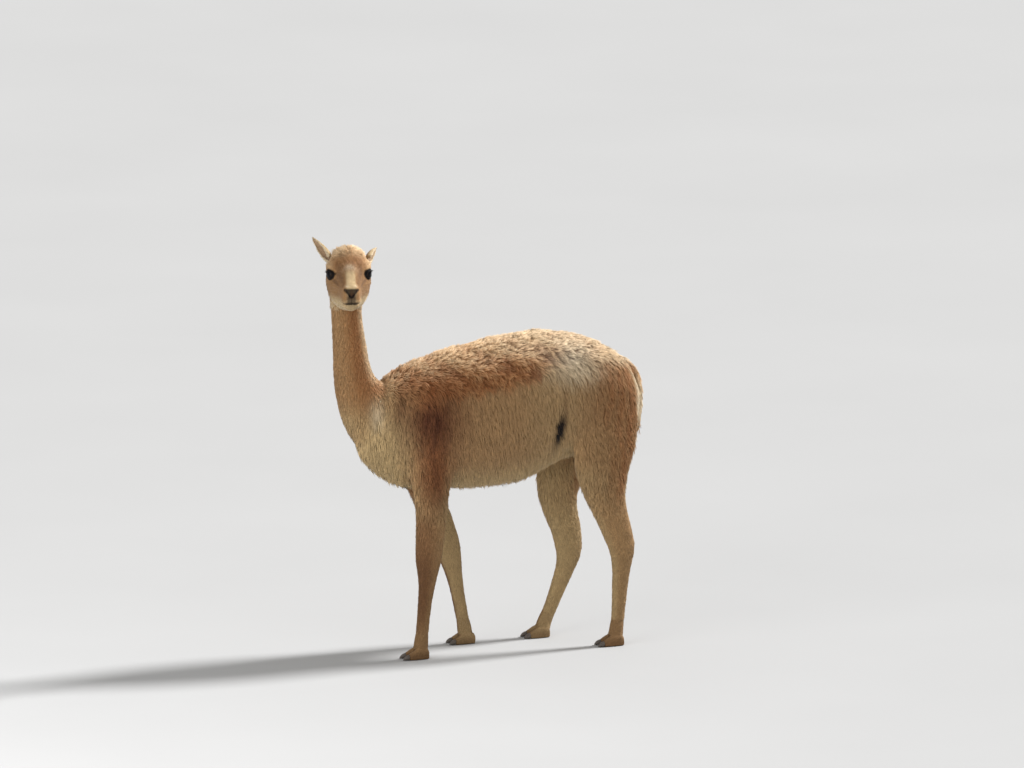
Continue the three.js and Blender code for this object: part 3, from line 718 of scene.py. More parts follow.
@dataclass
class Ear:
    """One ear as a cup that opens forward and out."""

    name: str
    base: Point
    tip: Point
    opens: Point
    rows: Rows = (
        (-0.12, 13, 13, 9),
        (0.06, 16.5, 14.5, 6),
        (0.25, 18, 13.5, 4.2),
        (0.5, 15.5, 10.5, 3.6),
        (0.75, 10, 6.5, 3.2),
        (0.92, 5, 3.8, 2.6),
        (1, 1.8, 1.6, 1.4),
    )
    arc: float = 108.0
    depth: float = 0.6

    def __post_init__(self) -> None:
        """Works out the ear's own directions."""
        self.root = STAND.head_point(self.base)
        reach = STAND.head_point(self.tip) - self.root
        self.length = float(np.linalg.norm(reach))
        self.axis = reach / self.length
        opening = np.asarray(self.opens) @ STAND.axes
        self.opening = unit(opening - self.axis * (opening @ self.axis))
        self.across = np.cross(self.axis, self.opening)

    def build(self) -> bpy.types.Object:
        """Draws the ear's cup as one thin skin.

        Returns:
            The closed form.
        """
        steps = np.radians(np.linspace(-self.arc, self.arc, 25))
        rings = []
        for share in np.linspace(self.rows[0][0], 1, 22):
            width, deep, thick = along(self.rows, share)[0]
            centre = self.root + self.axis * share * self.length
            walls = []
            for half, back, turn in (
                (width - self.depth, deep - self.depth, steps),
                (width - thick + self.depth, deep - thick + self.depth, steps[::-1]),
            ):
                out = np.outer(max(half, 0.4) * np.sin(turn), self.across)
                walls.append(centre + out - np.outer(max(back, 0.3) * np.cos(turn), self.opening))
            rings.append(np.vstack(walls))
        ear = loft(f"{self.name}_form", rings)
        remesh(ear, 1.5, 2)
        return ear


EARS: tuple[Ear, ...] = (
    Ear("ear_right", (-50, -58, 38), (-110, -98, 84), (0.62, -0.55, -0.3)),
    Ear("ear_left", (-52, 63, 32), (-124, 86, 47), (0.5, 0.75, -0.25)),
)


@dataclass
class Eye:
    """One eye with its lids' opening; side is 1 for the left eye and -1 for the right."""

    side: int
    radius: float = 19.0
    gaze: float = 60.0
    lid: float = 2.4
    opening: Point = (31.0, 10.2, 10.6)
    cornea: float = 1.2

    def __post_init__(self) -> None:
        """Works out the eye's place and its gaze."""
        angle = math.radians(self.gaze)
        self.places = np.array([STAND.eye_forward, self.side * STAND.eye_out, 0.0])
        self.ahead = np.array([math.cos(angle), self.side * math.sin(angle), 0.0])
        self.across = np.array([math.sin(angle) * self.side, -math.cos(angle), 0.0])

    def own(self, places: Array) -> Array:
        """Head places as across, up and ahead of the eye's middle."""
        offset = places - self.places
        return np.column_stack([offset @ self.across, offset[:, 2], offset @ self.ahead])

    def lids(self) -> bpy.types.Object:
        """The lids' ball, before the opening is cut."""
        reach = self.radius + self.lid
        return ball("lids", self.places, (reach, reach, reach))

    def almond(self) -> Array:
        """The opening's outline as across and up.

        Returns:
            The outline's points.
        """
        width, high, low = self.opening
        x = np.linspace(-1, 1, 25)
        upper = np.column_stack([x, high * (1 - np.abs(x) ** 2.2) ** 0.8])
        lower = np.column_stack([x, -low * (1 - np.abs(x) ** 2.0) ** 0.85])[::-1][1:-1]
        outline = np.vstack([upper, lower])
        outline[:, 0] *= width / 2
        return outline

    def cut(self, head: bpy.types.Object) -> None:
        """Cuts the lids' opening and the socket out of the head.

        Args:
            head: The head's skin.
        """
        outline = self.almond()
        rings = []
        for ahead, scale in ((6.0, 0.9), (self.radius, 1.0), (self.radius + 14, 1.5)):
            flat = outline * scale
            places = self.places + np.outer(flat[:, 0], self.across) + ahead * self.ahead
            places[:, 2] += flat[:, 1]
            rings.append(STAND.head_point(places))
        for tool in (loft("lid_tool", rings), ball("socket_tool", self.places, (self.radius + 0.35,) * 3)):
            apply(head, "BOOLEAN", operation="DIFFERENCE", object=tool, solver="MANIFOLD")
            bpy.data.objects.remove(tool)

    def build(self) -> bpy.types.Object:
        """Builds the eyeball with its raised cornea.

        Returns:
            The eye.
        """
        hand = "left" if self.side > 0 else "right"
        deselect()
        bpy.ops.mesh.primitive_uv_sphere_add(segments=64, ring_count=40, radius=self.radius / MILLIMETRES)
        eye = bpy.context.object
        eye.name = eye.data.name = f"eyeball_{hand}"
        axes = np.stack([self.across, np.array([0.0, 0.0, 1.0]), self.ahead]) @ STAND.axes
        points = np.array([v.co for v in eye.data.vertices]) * MILLIMETRES
        out = points[:, 2] / self.radius
        points = points * (1 + self.cornea * ease(0.72, 0.9, out) / self.radius)[:, None]
        reform(eye, STAND.head_point(self.places) + points @ axes)
        attach(eye.data, "iris", "FLOAT", out)
        select(eye)
        bpy.ops.object.shade_smooth()
        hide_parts(f"eye_{hand}")
        return eye


EYES: tuple[Eye, ...] = (Eye(1), Eye(-1))


@dataclass
class Head:
    """The skull and muzzle with their lips, lids, nostrils and mouth."""

    rows: Rows = (
        (-108, 18, -28, 16, 0),
        (-100, 35, -50, 37, 0.02),
        (-82, 54, -76, 56, 0.08),
        (-58, 66, -92, 65, 0.12),
        (-32, 70, -100, 66, 0.15),
        (-8, 66, -103, 64, 0.16),
        (12, 55, -103, 57, 0.18),
        (32, 38, -100, 47, 0.24),
        (54, 20, -96, 36.5, 0.26),
        (76, 5, -92, 30.5, 0.18),
        (94, -6, -89, 28, 0.12),
        (108, -13, -86, 26, 0.08),
        (118, -20, -80, 21.5, 0.05),
        (124, -31, -69, 12, 0),
    )
    squareness: float = 2.15
    muzzle_squareness: float = 2.65
    muzzle: tuple[float, float] = (60.0, 105.0)
    jowl_squareness: float = 3.1
    jowl: tuple[float, float] = (20.0, 70.0)
    brow: tuple[float, float] = (-8.0, 26.0)
    brow_up: tuple[float, float] = (0.42, 0.34)
    brow_out: float = 7.0
    reach: float = 110.0
    depths: Rows = ((-110, 8), (-60, 8), (-20, 6), (14, 3), (40, 2.2), (124, 1.0))
    mouth: Rows = ((58, -74), (78, -71), (104, -66), (130, -64))
    nostril: Rows = ((121.5, 3.6, -45), (120.0, 7.5, -38.5), (116.5, 13.0, -32), (110.5, 18.5, -27.5))
    folds: Rows = (
        (3.4, 2, 50, 22, 24, 14, 8),
        (-3.0, 38, 38, 2, 14, 12, 14),
        (1.6, 20, 50, -27, 36, 14, 7),
        (-1.8, 50, 32, -50, 24, 12, 14),
        (1.8, 62, 9, 16, 40, 8, 10),
        (2.4, 112, 15, -22, 8, 7, 5),
        (-1.6, 104, 22, -44, 9, 8, 6),
    )
    fine_from: tuple[float, float] = (80.0, 96.0)
    fine_height: tuple[float, float] = (-78.0, -18.0)
    fine_lids: float = 7.0

    def form(self) -> bpy.types.Object:
        """Draws the skull and muzzle.

        Returns:
            The closed form.
        """
        rings = []
        for f in spread(self.rows, 44):
            across, up = oval(44, np.interp(f, self.muzzle, (self.squareness, self.muzzle_squareness)))
            top, bottom, width, jaw = along(self.rows, f)[0]
            depth = float(along(self.depths, f)[0, 0])
            half = max((top - bottom) / 2 - depth, 1.0)
            narrowing = 1 - jaw * np.maximum(0, -up) ** 1.3
            power = np.interp(f, self.jowl, (self.jowl_squareness, self.muzzle_squareness))
            below = np.sign(across) * np.maximum(0, 1 - np.maximum(0, -up) ** power) ** (1 / power)
            out = np.where(up < 0, below, across)
            bulge = -(((f - self.brow[0]) / self.brow[1]) ** 2)
            bulge -= ((up - self.brow_up[0]) / self.brow_up[1]) ** 2
            s = (max(width - depth, 1.0) * narrowing + self.brow_out * np.exp(bulge)) * out
            v = (top + bottom) / 2 + half * up
            places = np.column_stack([np.full_like(s, f - depth * f / self.reach), s, v])
            rings.append(STAND.head_point(places))
        return loft("head_form", rings)

    def mouth_height(self, f: Array) -> Array:
        """The height of the mouth's line by place forward."""
        return along(self.mouth, f)[:, 0]

    def sculpt(self, places: Array) -> Array:
        """How the face's folds, lips, mouth and nostrils move the skin along its normals.

        A fold's row holds its height, its place forward, out and up, and its reach along each.

        Args:
            places: The skin's points as head places.

        Returns:
            How far each point moves out.
        """
        f, s, v = places.T
        mirrored = np.column_stack([f, np.abs(s), v])
        lip = v - self.mouth_height(f)
        move = sum(height * blot(mirrored, form[:3], form[3:]) for height, *form in self.folds)
        move += 1.3 * ridge(np.abs(lip) - 6.0, 3.4) * ease(84, 104, f)
        move -= 3.4 * ridge(lip, 1.35) * ease(60, 74, f)
        move -= 2.6 * ridge(s, 1.1) * ease(108, 115, f) * ease(-65, -62, v) * ease(-43, -48, v)
        return move - 6.5 * self.nostrils(mirrored, 2.2)

    def nostrils(self, mirrored: Array, reach: float) -> Array:
        """How near points lie to a nostril's slit.

        Args:
            mirrored: Head places with both sides laid on the left one.
            reach: The slit's half width.

        Returns:
            Shares from 0 to 1.
        """
        best = np.zeros(len(mirrored))
        for start, end in zip(self.nostril, self.nostril[1:]):
            a, b = np.asarray(start), np.asarray(end)
            t = np.clip((mirrored - a) @ (b - a) / ((b - a) @ (b - a)), 0, 1)
            apart = np.linalg.norm(mirrored - a - t[:, None] * (b - a), axis=1)
            best = np.maximum(best, ridge(apart, reach))
        return best

    def build(self, neck: Neck) -> bpy.types.Object:
        """Builds the head's skin with a stump of the neck.

        Args:
            neck: The neck, whose top it carries.

        Returns:
            The head's skin.
        """
        pieces = [
            self.form(),
            neck.build(6.6, 8.0, 0.6),
            *(ball("lip", (101, side * 9.5, -54), (19.5, 12.8, 11), 12) for side in (-1, 1)),
            ball("chin", (90, 0, -78), (21, 16.2, 10.8), 6),
            *(eye.lids() for eye in EYES),
        ]
        head = merge("head_skin", pieces)
        remesh(head, 2.2, 4)
        for wide in (True, False):
            self.refine(head, wide)
        points, normals = surface(head)
        reform(head, points + normals * self.sculpt(STAND.head_places(points))[:, None])
        for eye in EYES:
            eye.cut(head)
        return head

    def refine(self, head: bpy.types.Object, wide: bool) -> None:
        """Divides the faces of the muzzle's end.

        Args:
            head: The head's skin.
            wide: Whether those of the whole muzzle and round the eyes are divided too.
        """
        select(head)
        mesh = head.data
        middle = np.empty(len(mesh.polygons) * 3)
        mesh.polygons.foreach_get("center", middle)
        places = STAND.head_places(STAND.millimetres(middle.reshape(-1, 3)))
        low, high = self.fine_height
        near = (places[:, 0] > self.fine_from[1]) & (places[:, 2] < high) & (places[:, 2] > low)
        if wide:
            near |= places[:, 0] > self.fine_from[0]
            for eye in EYES:
                near |= np.linalg.norm(eye.own(places), axis=1) < eye.radius + self.fine_lids
        bpy.ops.object.mode_set(mode="EDIT")
        bpy.ops.mesh.select_mode(type="FACE")
        bpy.ops.mesh.select_all(action="DESELECT")
        bpy.ops.object.mode_set(mode="OBJECT")
        mesh.polygons.foreach_set("select", near)
        bpy.ops.object.mode_set(mode="EDIT")
        bpy.ops.mesh.subdivide(number_cuts=1, smoothness=0.0)
        bpy.ops.object.mode_set(mode="OBJECT")


def surface(piece: bpy.types.Object) -> tuple[Array, Array]:
    """A piece's vertices and their normals.

    Args:
        piece: The piece.

    Returns:
        The points in the animal's frame and the normals.
    """
    mesh = piece.data
    points = np.empty(len(mesh.vertices) * 3)
    normals = np.empty(len(mesh.vertices) * 3)
    mesh.vertices.foreach_get("co", points)
    mesh.vertex_normals.foreach_get("vector", normals)
    return STAND.millimetres(points.reshape(-1, 3)), unit(normals.reshape(-1, 3))


class Zone(Enum):
    """The coat's pieces, each with its record slot and how many rings a tuft has between root and tip."""

    CHEST = ("coat_chest", "fleece", 2)
    SHOULDER = ("coat_shoulder", "fleece", 1)
    BARREL = ("coat_barrel", "fleece", 1)
    LOIN = ("coat_loin", "fleece", 1)
    RUMP = ("coat_rump", "fleece", 1)
    TAIL = ("coat_tail", "fleece", 2)
    NECK = ("coat_neck", "head_coat", 1)
    HEAD = ("coat_head", "head_coat", 1)
    CROWN = ("coat_crown", "head_coat", 2)
    FORELEG_LEFT = ("coat_foreleg_left", "leg_coat", 1)
    FORELEG_RIGHT = ("coat_foreleg_right", "leg_coat", 1)
    HINDLEG_LEFT = ("coat_hindleg_left", "leg_coat", 1)
    HINDLEG_RIGHT = ("coat_hindleg_right", "leg_coat", 1)
    EARS = ("coat_ears", "ear_coat", 1)


ZONES: tuple[Zone, ...] = tuple(Zone)


class Part(Enum):
    """What a stretch of skin was drawn as."""

    TRUNK = 0
    FOOT = 1
    HEAD = 2
    EAR = 3


@dataclass(frozen=True)
class Lay:
    """How one kind of coat grows; sizes in millimetres, density in tufts a square millimetre."""

    length: float
    lift: float
    width: float
    density: float
    pull: float
    cell: float
    stray: float

    def row(self) -> Array:
        """The values as one row."""
        return np.array(astuple(self))


BACK = Lay(24, 42, 3.3, 0.092, 0.34, 10, 0.40)
FLANK = Lay(25, 19, 3.2, 0.076, 0.24, 8, 0.14)
CHEST = Lay(32, 16, 3.5, 0.066, 0.34, 9, 0.12)
BELLY = Lay(30, 14, 3.7, 0.060, 0.34, 10, 0.14)
HAUNCH = Lay(22, 21, 3.1, 0.080, 0.24, 8, 0.16)
TAIL_HAIR = Lay(28, 7, 3.0, 0.100, 0.26, 8, 0.12)
NECK_HAIR = Lay(13, 19, 2.4, 0.118, 0.18, 6, 0.15)
LEG_HAIR = Lay(9, 13, 2.2, 0.114, 0.08, 5, 0.12)
FOOT_HAIR = Lay(5.5, 12, 1.9, 0.134, 0.03, 4, 0.12)
FACE_HAIR = Lay(7.5, 22, 1.5, 0.240, 0.14, 5, 0.22)
CHEEK_HAIR = Lay(15, 30, 1.9, 0.180, 0.25, 7, 0.26)
BROW_HAIR = Lay(12, 34, 1.8, 0.200, 0.30, 6, 0.32)
CROWN_HAIR = Lay(25, 60, 1.7, 0.220, 0.28, 8, 0.44)
MUZZLE_HAIR = Lay(3.2, 14, 1.0, 0.320, 0.0, 4, 0.16)
LID_HAIR = Lay(2.8, 14, 1.0, 0.320, 0.0, 4, 0.10)
EAR_HAIR = Lay(5.5, 13, 1.4, 0.260, 0.10, 4, 0.18)


@dataclass(frozen=True)
class Palette:
    """The coat's colours, as screen colours."""

    cinnamon: Colour = (190, 134, 84)
    rust: Colour = (146, 88, 50)
    gold: Colour = (226, 186, 138)
    chestnut: Colour = (92, 52, 33)
    beige: Colour = (164, 128, 88)
    sand: Colour = (184, 146, 102)
    cream: Colour = (204, 176, 128)
    white: Colour = (230, 210, 176)
    ash: Colour = (188, 168, 146)
    umber: Colour = (96, 64, 42)
    smoke: Colour = (76, 63, 52)
    soot: Colour = (18, 10, 8)
    pink: Colour = (172, 140, 118)

    def of(self, name: str) -> Array:
        """A colour of this palette as a linear one."""
        return linear(*getattr(self, name))


PALETTE = Palette()


@dataclass
class Fields:
    """What each point of skin carries: its coat's lay, the way it flows, its colours and its zone."""

    lay: Array
    flow: Array
    colour: Array
    tips: Array
    hide: Array
    zone: Array

    @classmethod
    def plain(cls, count: int, lay: Lay, colour: str, zone: Zone) -> Fields:
        """Fields with one lay and one colour throughout.

        Args:
            count: How many points there are.
            lay: The lay.
            colour: The palette colour's name.
            zone: The zone.

        Returns:
            The fields.
        """
        paint = np.tile(PALETTE.of(colour), (count, 1))
        return cls(
            np.tile(lay.row(), (count, 1)),
            np.zeros((count, 3)),
            paint,
            paint.copy(),
            np.zeros(count),
            np.full(count, ZONES.index(zone)),
        )

    def grow(self, lay: Lay, share: Array) -> None:
        """Blends in another lay."""
        self.lay = mix(self.lay, lay.row(), share)

    def paint(self, name: str, share: Array, tip: str | None = None) -> None:
        """Blends in a palette colour, and another for the tips where one is named."""
        self.colour = mix(self.colour, PALETTE.of(name), share)
        self.tips = mix(self.tips, PALETTE.of(tip or name), share)

    def steer(self, way: Array, share: Array | float) -> None:
        """Blends in another way to flow."""
        weight = np.broadcast_to(share, len(self.flow))[:, None]
        self.flow = self.flow * (1 - weight) + way * weight

    def place(self, zone: Zone, where: Array) -> None:
        """Puts points into a zone."""
        self.zone = np.where(where, ZONES.index(zone), self.zone)


NECK = Neck()
TAIL = Tail()
HEAD = Head()
LEG_ZONES: tuple[Zone, ...] = tuple(Zone[leg.name.upper()] for leg in LEGS)
DOWN = np.array([0.0, 0.0, -1.0])
BACKWARD = np.array([0.0, 1.0, 0.0])


def neck_fields(fields: Fields, points: Array, normals: Array, share: Array) -> None:
    """Blends in the neck's coat and colours.

    Args:
        fields: What is changed.
        points: The skin's points.
        normals: Its normals.
        share: How much each point belongs to the neck.
    """
    z = points[:, 2]
    front = ease(0.0, -0.8, normals[:, 1])
    back = ease(0.3, 0.9, normals[:, 1])
    stripe = ridge(normals[:, 1] - 0.15, 0.4)
    fields.grow(NECK_HAIR, share)
    fields.steer(DOWN + 0.1 * normals, share)
    streak = 0.5 + 0.5 * np.sin(22 * normals[:, 1] + 2 * np.sin(z / 60) + 9 * normals[:, 0])
    fields.paint("cinnamon", share, "beige")
    fields.paint("rust", share * np.maximum(stripe * 0.6, 0.25 * streak), "cinnamon")
    # painted light: the neck's rear side, which faces the key light, is painted gold with white tips
    fields.paint("gold", share * back * 0.85, "white")
    fields.paint("sand", share * front * (0.55 + 0.3 * streak))
    fields.paint("cream", share * ease(760, 660, z) * ease(0.3, -0.5, normals[:, 1]) * 0.8)


def leg_fields(fields: Fields, points: Array, normals: Array, leg: Leg, zone: Zone) -> None:
    """Blends in one leg's coat and colours.

    Args:
        fields: What is changed.
        points: The skin's points.
        normals: Its normals.
        leg: The leg.
        zone: The zone that its coat goes into.
    """
    out, place, down = leg.near(points)
    fore = leg.name.startswith("fore")
    top = 1.66 if fore else 1.5
    share = ease(top, top - 0.3, place) * ease(2.6, 1.7, out)
    outward = normals[:, 0] * np.sign(leg.foot[0])
    fields.grow(HAUNCH, share * 0.8)
    fields.grow(LEG_HAIR, share * ease(1.6, 1.0, place))
    fields.grow(FOOT_HAIR, share * ease(0.4, 0.12, place))
    fields.lay[:, 3] *= 1 - share * ease(0.34, 0.28, place)
    fields.steer(down, share)
    fields.place(zone, share > 0.5)
    fields.paint("sand", share * ease(1.66, 1.3, place))
    fields.paint("beige", share * ease(1.3, 0.9, place) * 0.8)
    fields.paint("cream", share * ease(0.1, -0.6, outward) * 0.7)
    if fore:
        streak = ease(0.6, -0.4, normals[:, 1]) * ease(0.1, 0.6, place) * ease(-0.6, 0.1, outward)
        fields.paint("chestnut", share * streak * 0.5, "rust")
        fields.paint("umber", share * streak * ease(1.3, 0.8, place) * 0.45)
    else:
        behind = ease(0.0, 0.8, normals[:, 1])
        fields.paint("umber", share * behind * ridge(place - 0.95, 0.25) * 0.4, "beige")
        fields.paint("cinnamon", share * ease(0.8, 1.2, place) * ease(-0.4, 0.5, outward) * 0.3, "sand")
        # painted light: the hind legs' rear edges, which face the key light, are painted white
        fields.paint("white", share * ease(0.8, 0.95, normals[:, 1]) * ease(1.0, 1.3, place) * 0.8)
        fields.paint("cream", share * (0.15 + 0.4 * ease(-0.2, -0.8, normals[:, 1])))
    fields.paint("smoke", share * ease(0.5, 0.1, place) * 0.18)


def trunk_fields(points: Array, normals: Array) -> Fields:
    """The coat of the chest, back, belly, neck, tail and legs.

    Args:
        points: The skin's points.
        normals: Its normals.

    Returns:
        The fields.
    """
    x, y, z = points.T
    side, flat = np.abs(x), points[:, 1:]
    nz = np.maximum(normals[:, 2], 0)
    fields = Fields.plain(len(points), FLANK, "sand", Zone.BARREL)
    wobble = 7 * np.sin(y / 31 + 1.3) + 5 * np.sin(y / 13 + x / 21) + 3 * np.sin(y / 7 + 2)
    edge = np.interp(y, (-640, -400, -227, -120), (776, 758, 802, 850)) + wobble
    saddle = ease(-16, 16, z - edge)
    # how much the skin faces up, where the back gets its painted light below
    top = ease(0.45, 0.9, normals[:, 2])
    fields.grow(BACK, np.maximum(ease(0.25, 0.75, nz), saddle * 0.8))
    fields.grow(BELLY, ease(-0.35, -0.8, normals[:, 2]))
    chest = ease(-560, -650, y) * ease(800, 700, z)
    fields.grow(CHEST, chest)
    haunch = ease(-110, -30, y) * ease(850, 790, z)
    fields.grow(HAUNCH, haunch)
    fields.flow = np.outer(0.45 + 0.55 * nz, BACKWARD) + np.outer(0.9 * (1 - nz), DOWN)
    fields.steer(DOWN + 0.1 * BACKWARD, ease(0.5, 0.1, nz) * 0.8)
    fields.steer(DOWN, chest)
    fields.steer(DOWN + 0.15 * BACKWARD, haunch * 0.8)
    starts = {Zone.CHEST: -900, Zone.SHOULDER: -560, Zone.BARREL: -400, Zone.LOIN: -210, Zone.RUMP: -50}
    for zone, start in starts.items():
        fields.place(zone, y > start)
    streak = 0.5 + 0.5 * np.sin(y / 5.5 + 1.5 * np.sin(z / 31 + y / 47))
    fields.paint("beige", 0.6 * streak, "sand")
    fields.paint("cream", ease(-330, -200, y) * ease(-90, -150, y) * 0.3)
    fields.paint("cream", ease(560, 490, z + wobble) * 0.45)
    fields.paint("cream", ease(-0.3, -0.8, normals[:, 2]) * 0.8)
    fields.paint("beige", haunch * (0.5 + 0.3 * streak))
    band = ease(-0.1, 0.3, normals[:, 1]) * ease(0.85, 0.6, normals[:, 1])
    fields.paint("rust", haunch * band * (0.45 + 0.3 * streak), "cinnamon")
    # painted shade: the dips between the wool lumps are painted darker, with more rust and umber and less
    # of the gold on top
    lump_hollow_shade = ease(0.25, -0.45, lumps(points))
    fields.paint("cinnamon", saddle, "gold")
    fields.paint("rust", saddle * (1 - 0.6 * top) * (0.2 + 0.75 * lump_hollow_shade))
    fields.paint("umber", saddle * (1 - top) * ease(0.5, 1.0, lump_hollow_shade) * 0.35)
    fields.paint("rust", saddle * ease(85, 15, z - edge) * ease(-160, -330, y) * 0.75, "cinnamon")
    # painted light: the up-facing top of the back is painted gold with white tips, whiter towards the
    # shoulders, and takes less rust
    fields.paint("gold", top * (0.6 - 0.35 * lump_hollow_shade), "white")
    fields.paint("white", top * ease(-420, -260, y) * 0.35)
    fields.paint("ash", blot(flat, (-135, 836), (66, 44)), "white")
    fields.paint("white", blot(flat, (-120, 800), (80, 30)) * 0.5)
    # painted light: the rump's rear-facing surfaces, which face the key light, are painted white
    fields.paint("white", ease(-60, 0, y) * ease(0.7, 0.88, normals[:, 1]) * 0.85)
    fields.paint("cream", chest * 0.9)
    middle = np.interp(z, (440, 560, 660, 760), (-552, -542, -548, -562)) + 0.8 * wobble
    reach = np.interp(z, (440, 560, 660, 760), (44, 58, 74, 96))
    shoulder = ridge(y - middle, reach) * ease(380, 520, z) * ease(30, 60, side)
    fields.paint("rust", shoulder * ease(830, 770, z + wobble) * 0.85)
    dark = 0.22 + 0.56 * ease(590, 690, z) + 0.2 * streak
    fields.paint("chestnut", shoulder * ease(770, 715, z + 1.4 * wobble) * dark, "chestnut")
    neck = NECK.share(points)
    neck_fields(fields, points, normals, neck)
    fields.place(Zone.NECK, neck > 0.5)
    fields.paint("white", blot(flat, (-703, 716), (20, 34)) * 0.6 * ease(10, 40, side))
    # painted shade: a dark slit of soot where the flank meets the thigh, with a fainter umber streak above
    # it; the hair there is shorter
    slanted = np.column_stack([y - 0.12 * (z - 646), z])
    fold = blot(slanted, (-172, 644), (12, 44)) * ease(60, 90, side)
    fields.paint("soot", np.minimum(fold * 1.5, 1.0))
    fields.lay[:, 0] *= 1 - 0.6 * fold
    fields.paint("umber", blot(flat, (-160, 730), (9, 52)) * 0.5 * ease(60, 90, side), "beige")
    tail = TAIL.share(points)
    fields.grow(TAIL_HAIR, tail)
    fields.steer(DOWN + 0.05 * BACKWARD, tail)
    fields.place(Zone.TAIL, tail > 0.5)
    fields.paint("cinnamon", tail * 0.6, "gold")
    fields.paint("white", tail * ease(10, 20, side) * 0.9)
    for leg, zone in zip(LEGS, LEG_ZONES):
        leg_fields(fields, points, normals, leg, zone)
    return fields


def foot_fields(points: Array, normals: Array) -> Fields:
    """The coat of the feet.

    Args:
        points: The skin's points.
        normals: Its normals.

    Returns:
        The fields.
    """
    fields = Fields.plain(len(points), FOOT_HAIR, "beige", Zone.FORELEG_LEFT)
    feet = np.array([leg.foot for leg in LEGS])
    nearest = np.linalg.norm(points[:, None, :2] - feet[None], axis=2).argmin(1)
    for index, (leg, zone) in enumerate(zip(LEGS, LEG_ZONES)):
        mine = nearest == index
        _, place, down = leg.near(points)
        fields.place(zone, mine)
        fields.grow(LEG_HAIR, mine * ease(0.12, 0.4, place))
        fields.lay[:, 3] *= 1 - mine * ease(0.38, 0.42, place)
        toes = ease(60, 34, points[:, 2])
        fields.steer(down * (1 - toes)[:, None] + np.outer(toes, [0.0, -1.0, -0.45]), mine)
        outward = normals[:, 0] * np.sign(leg.foot[0])
        fields.paint("sand", mine * 0.15)
        fields.paint("cream", mine * ease(0.1, -0.6, outward) * 0.6)
        fields.paint("smoke", mine * ease(0.5, 0.1, place) * 0.18)
    low = ease(34, 8, points[:, 2])
    fields.paint("umber", low * 0.45)
    fields.lay[:, 0] *= 1 - 0.5 * low
    fields.lay[:, 3] *= ease(4, 8, points[:, 2])
    return fields


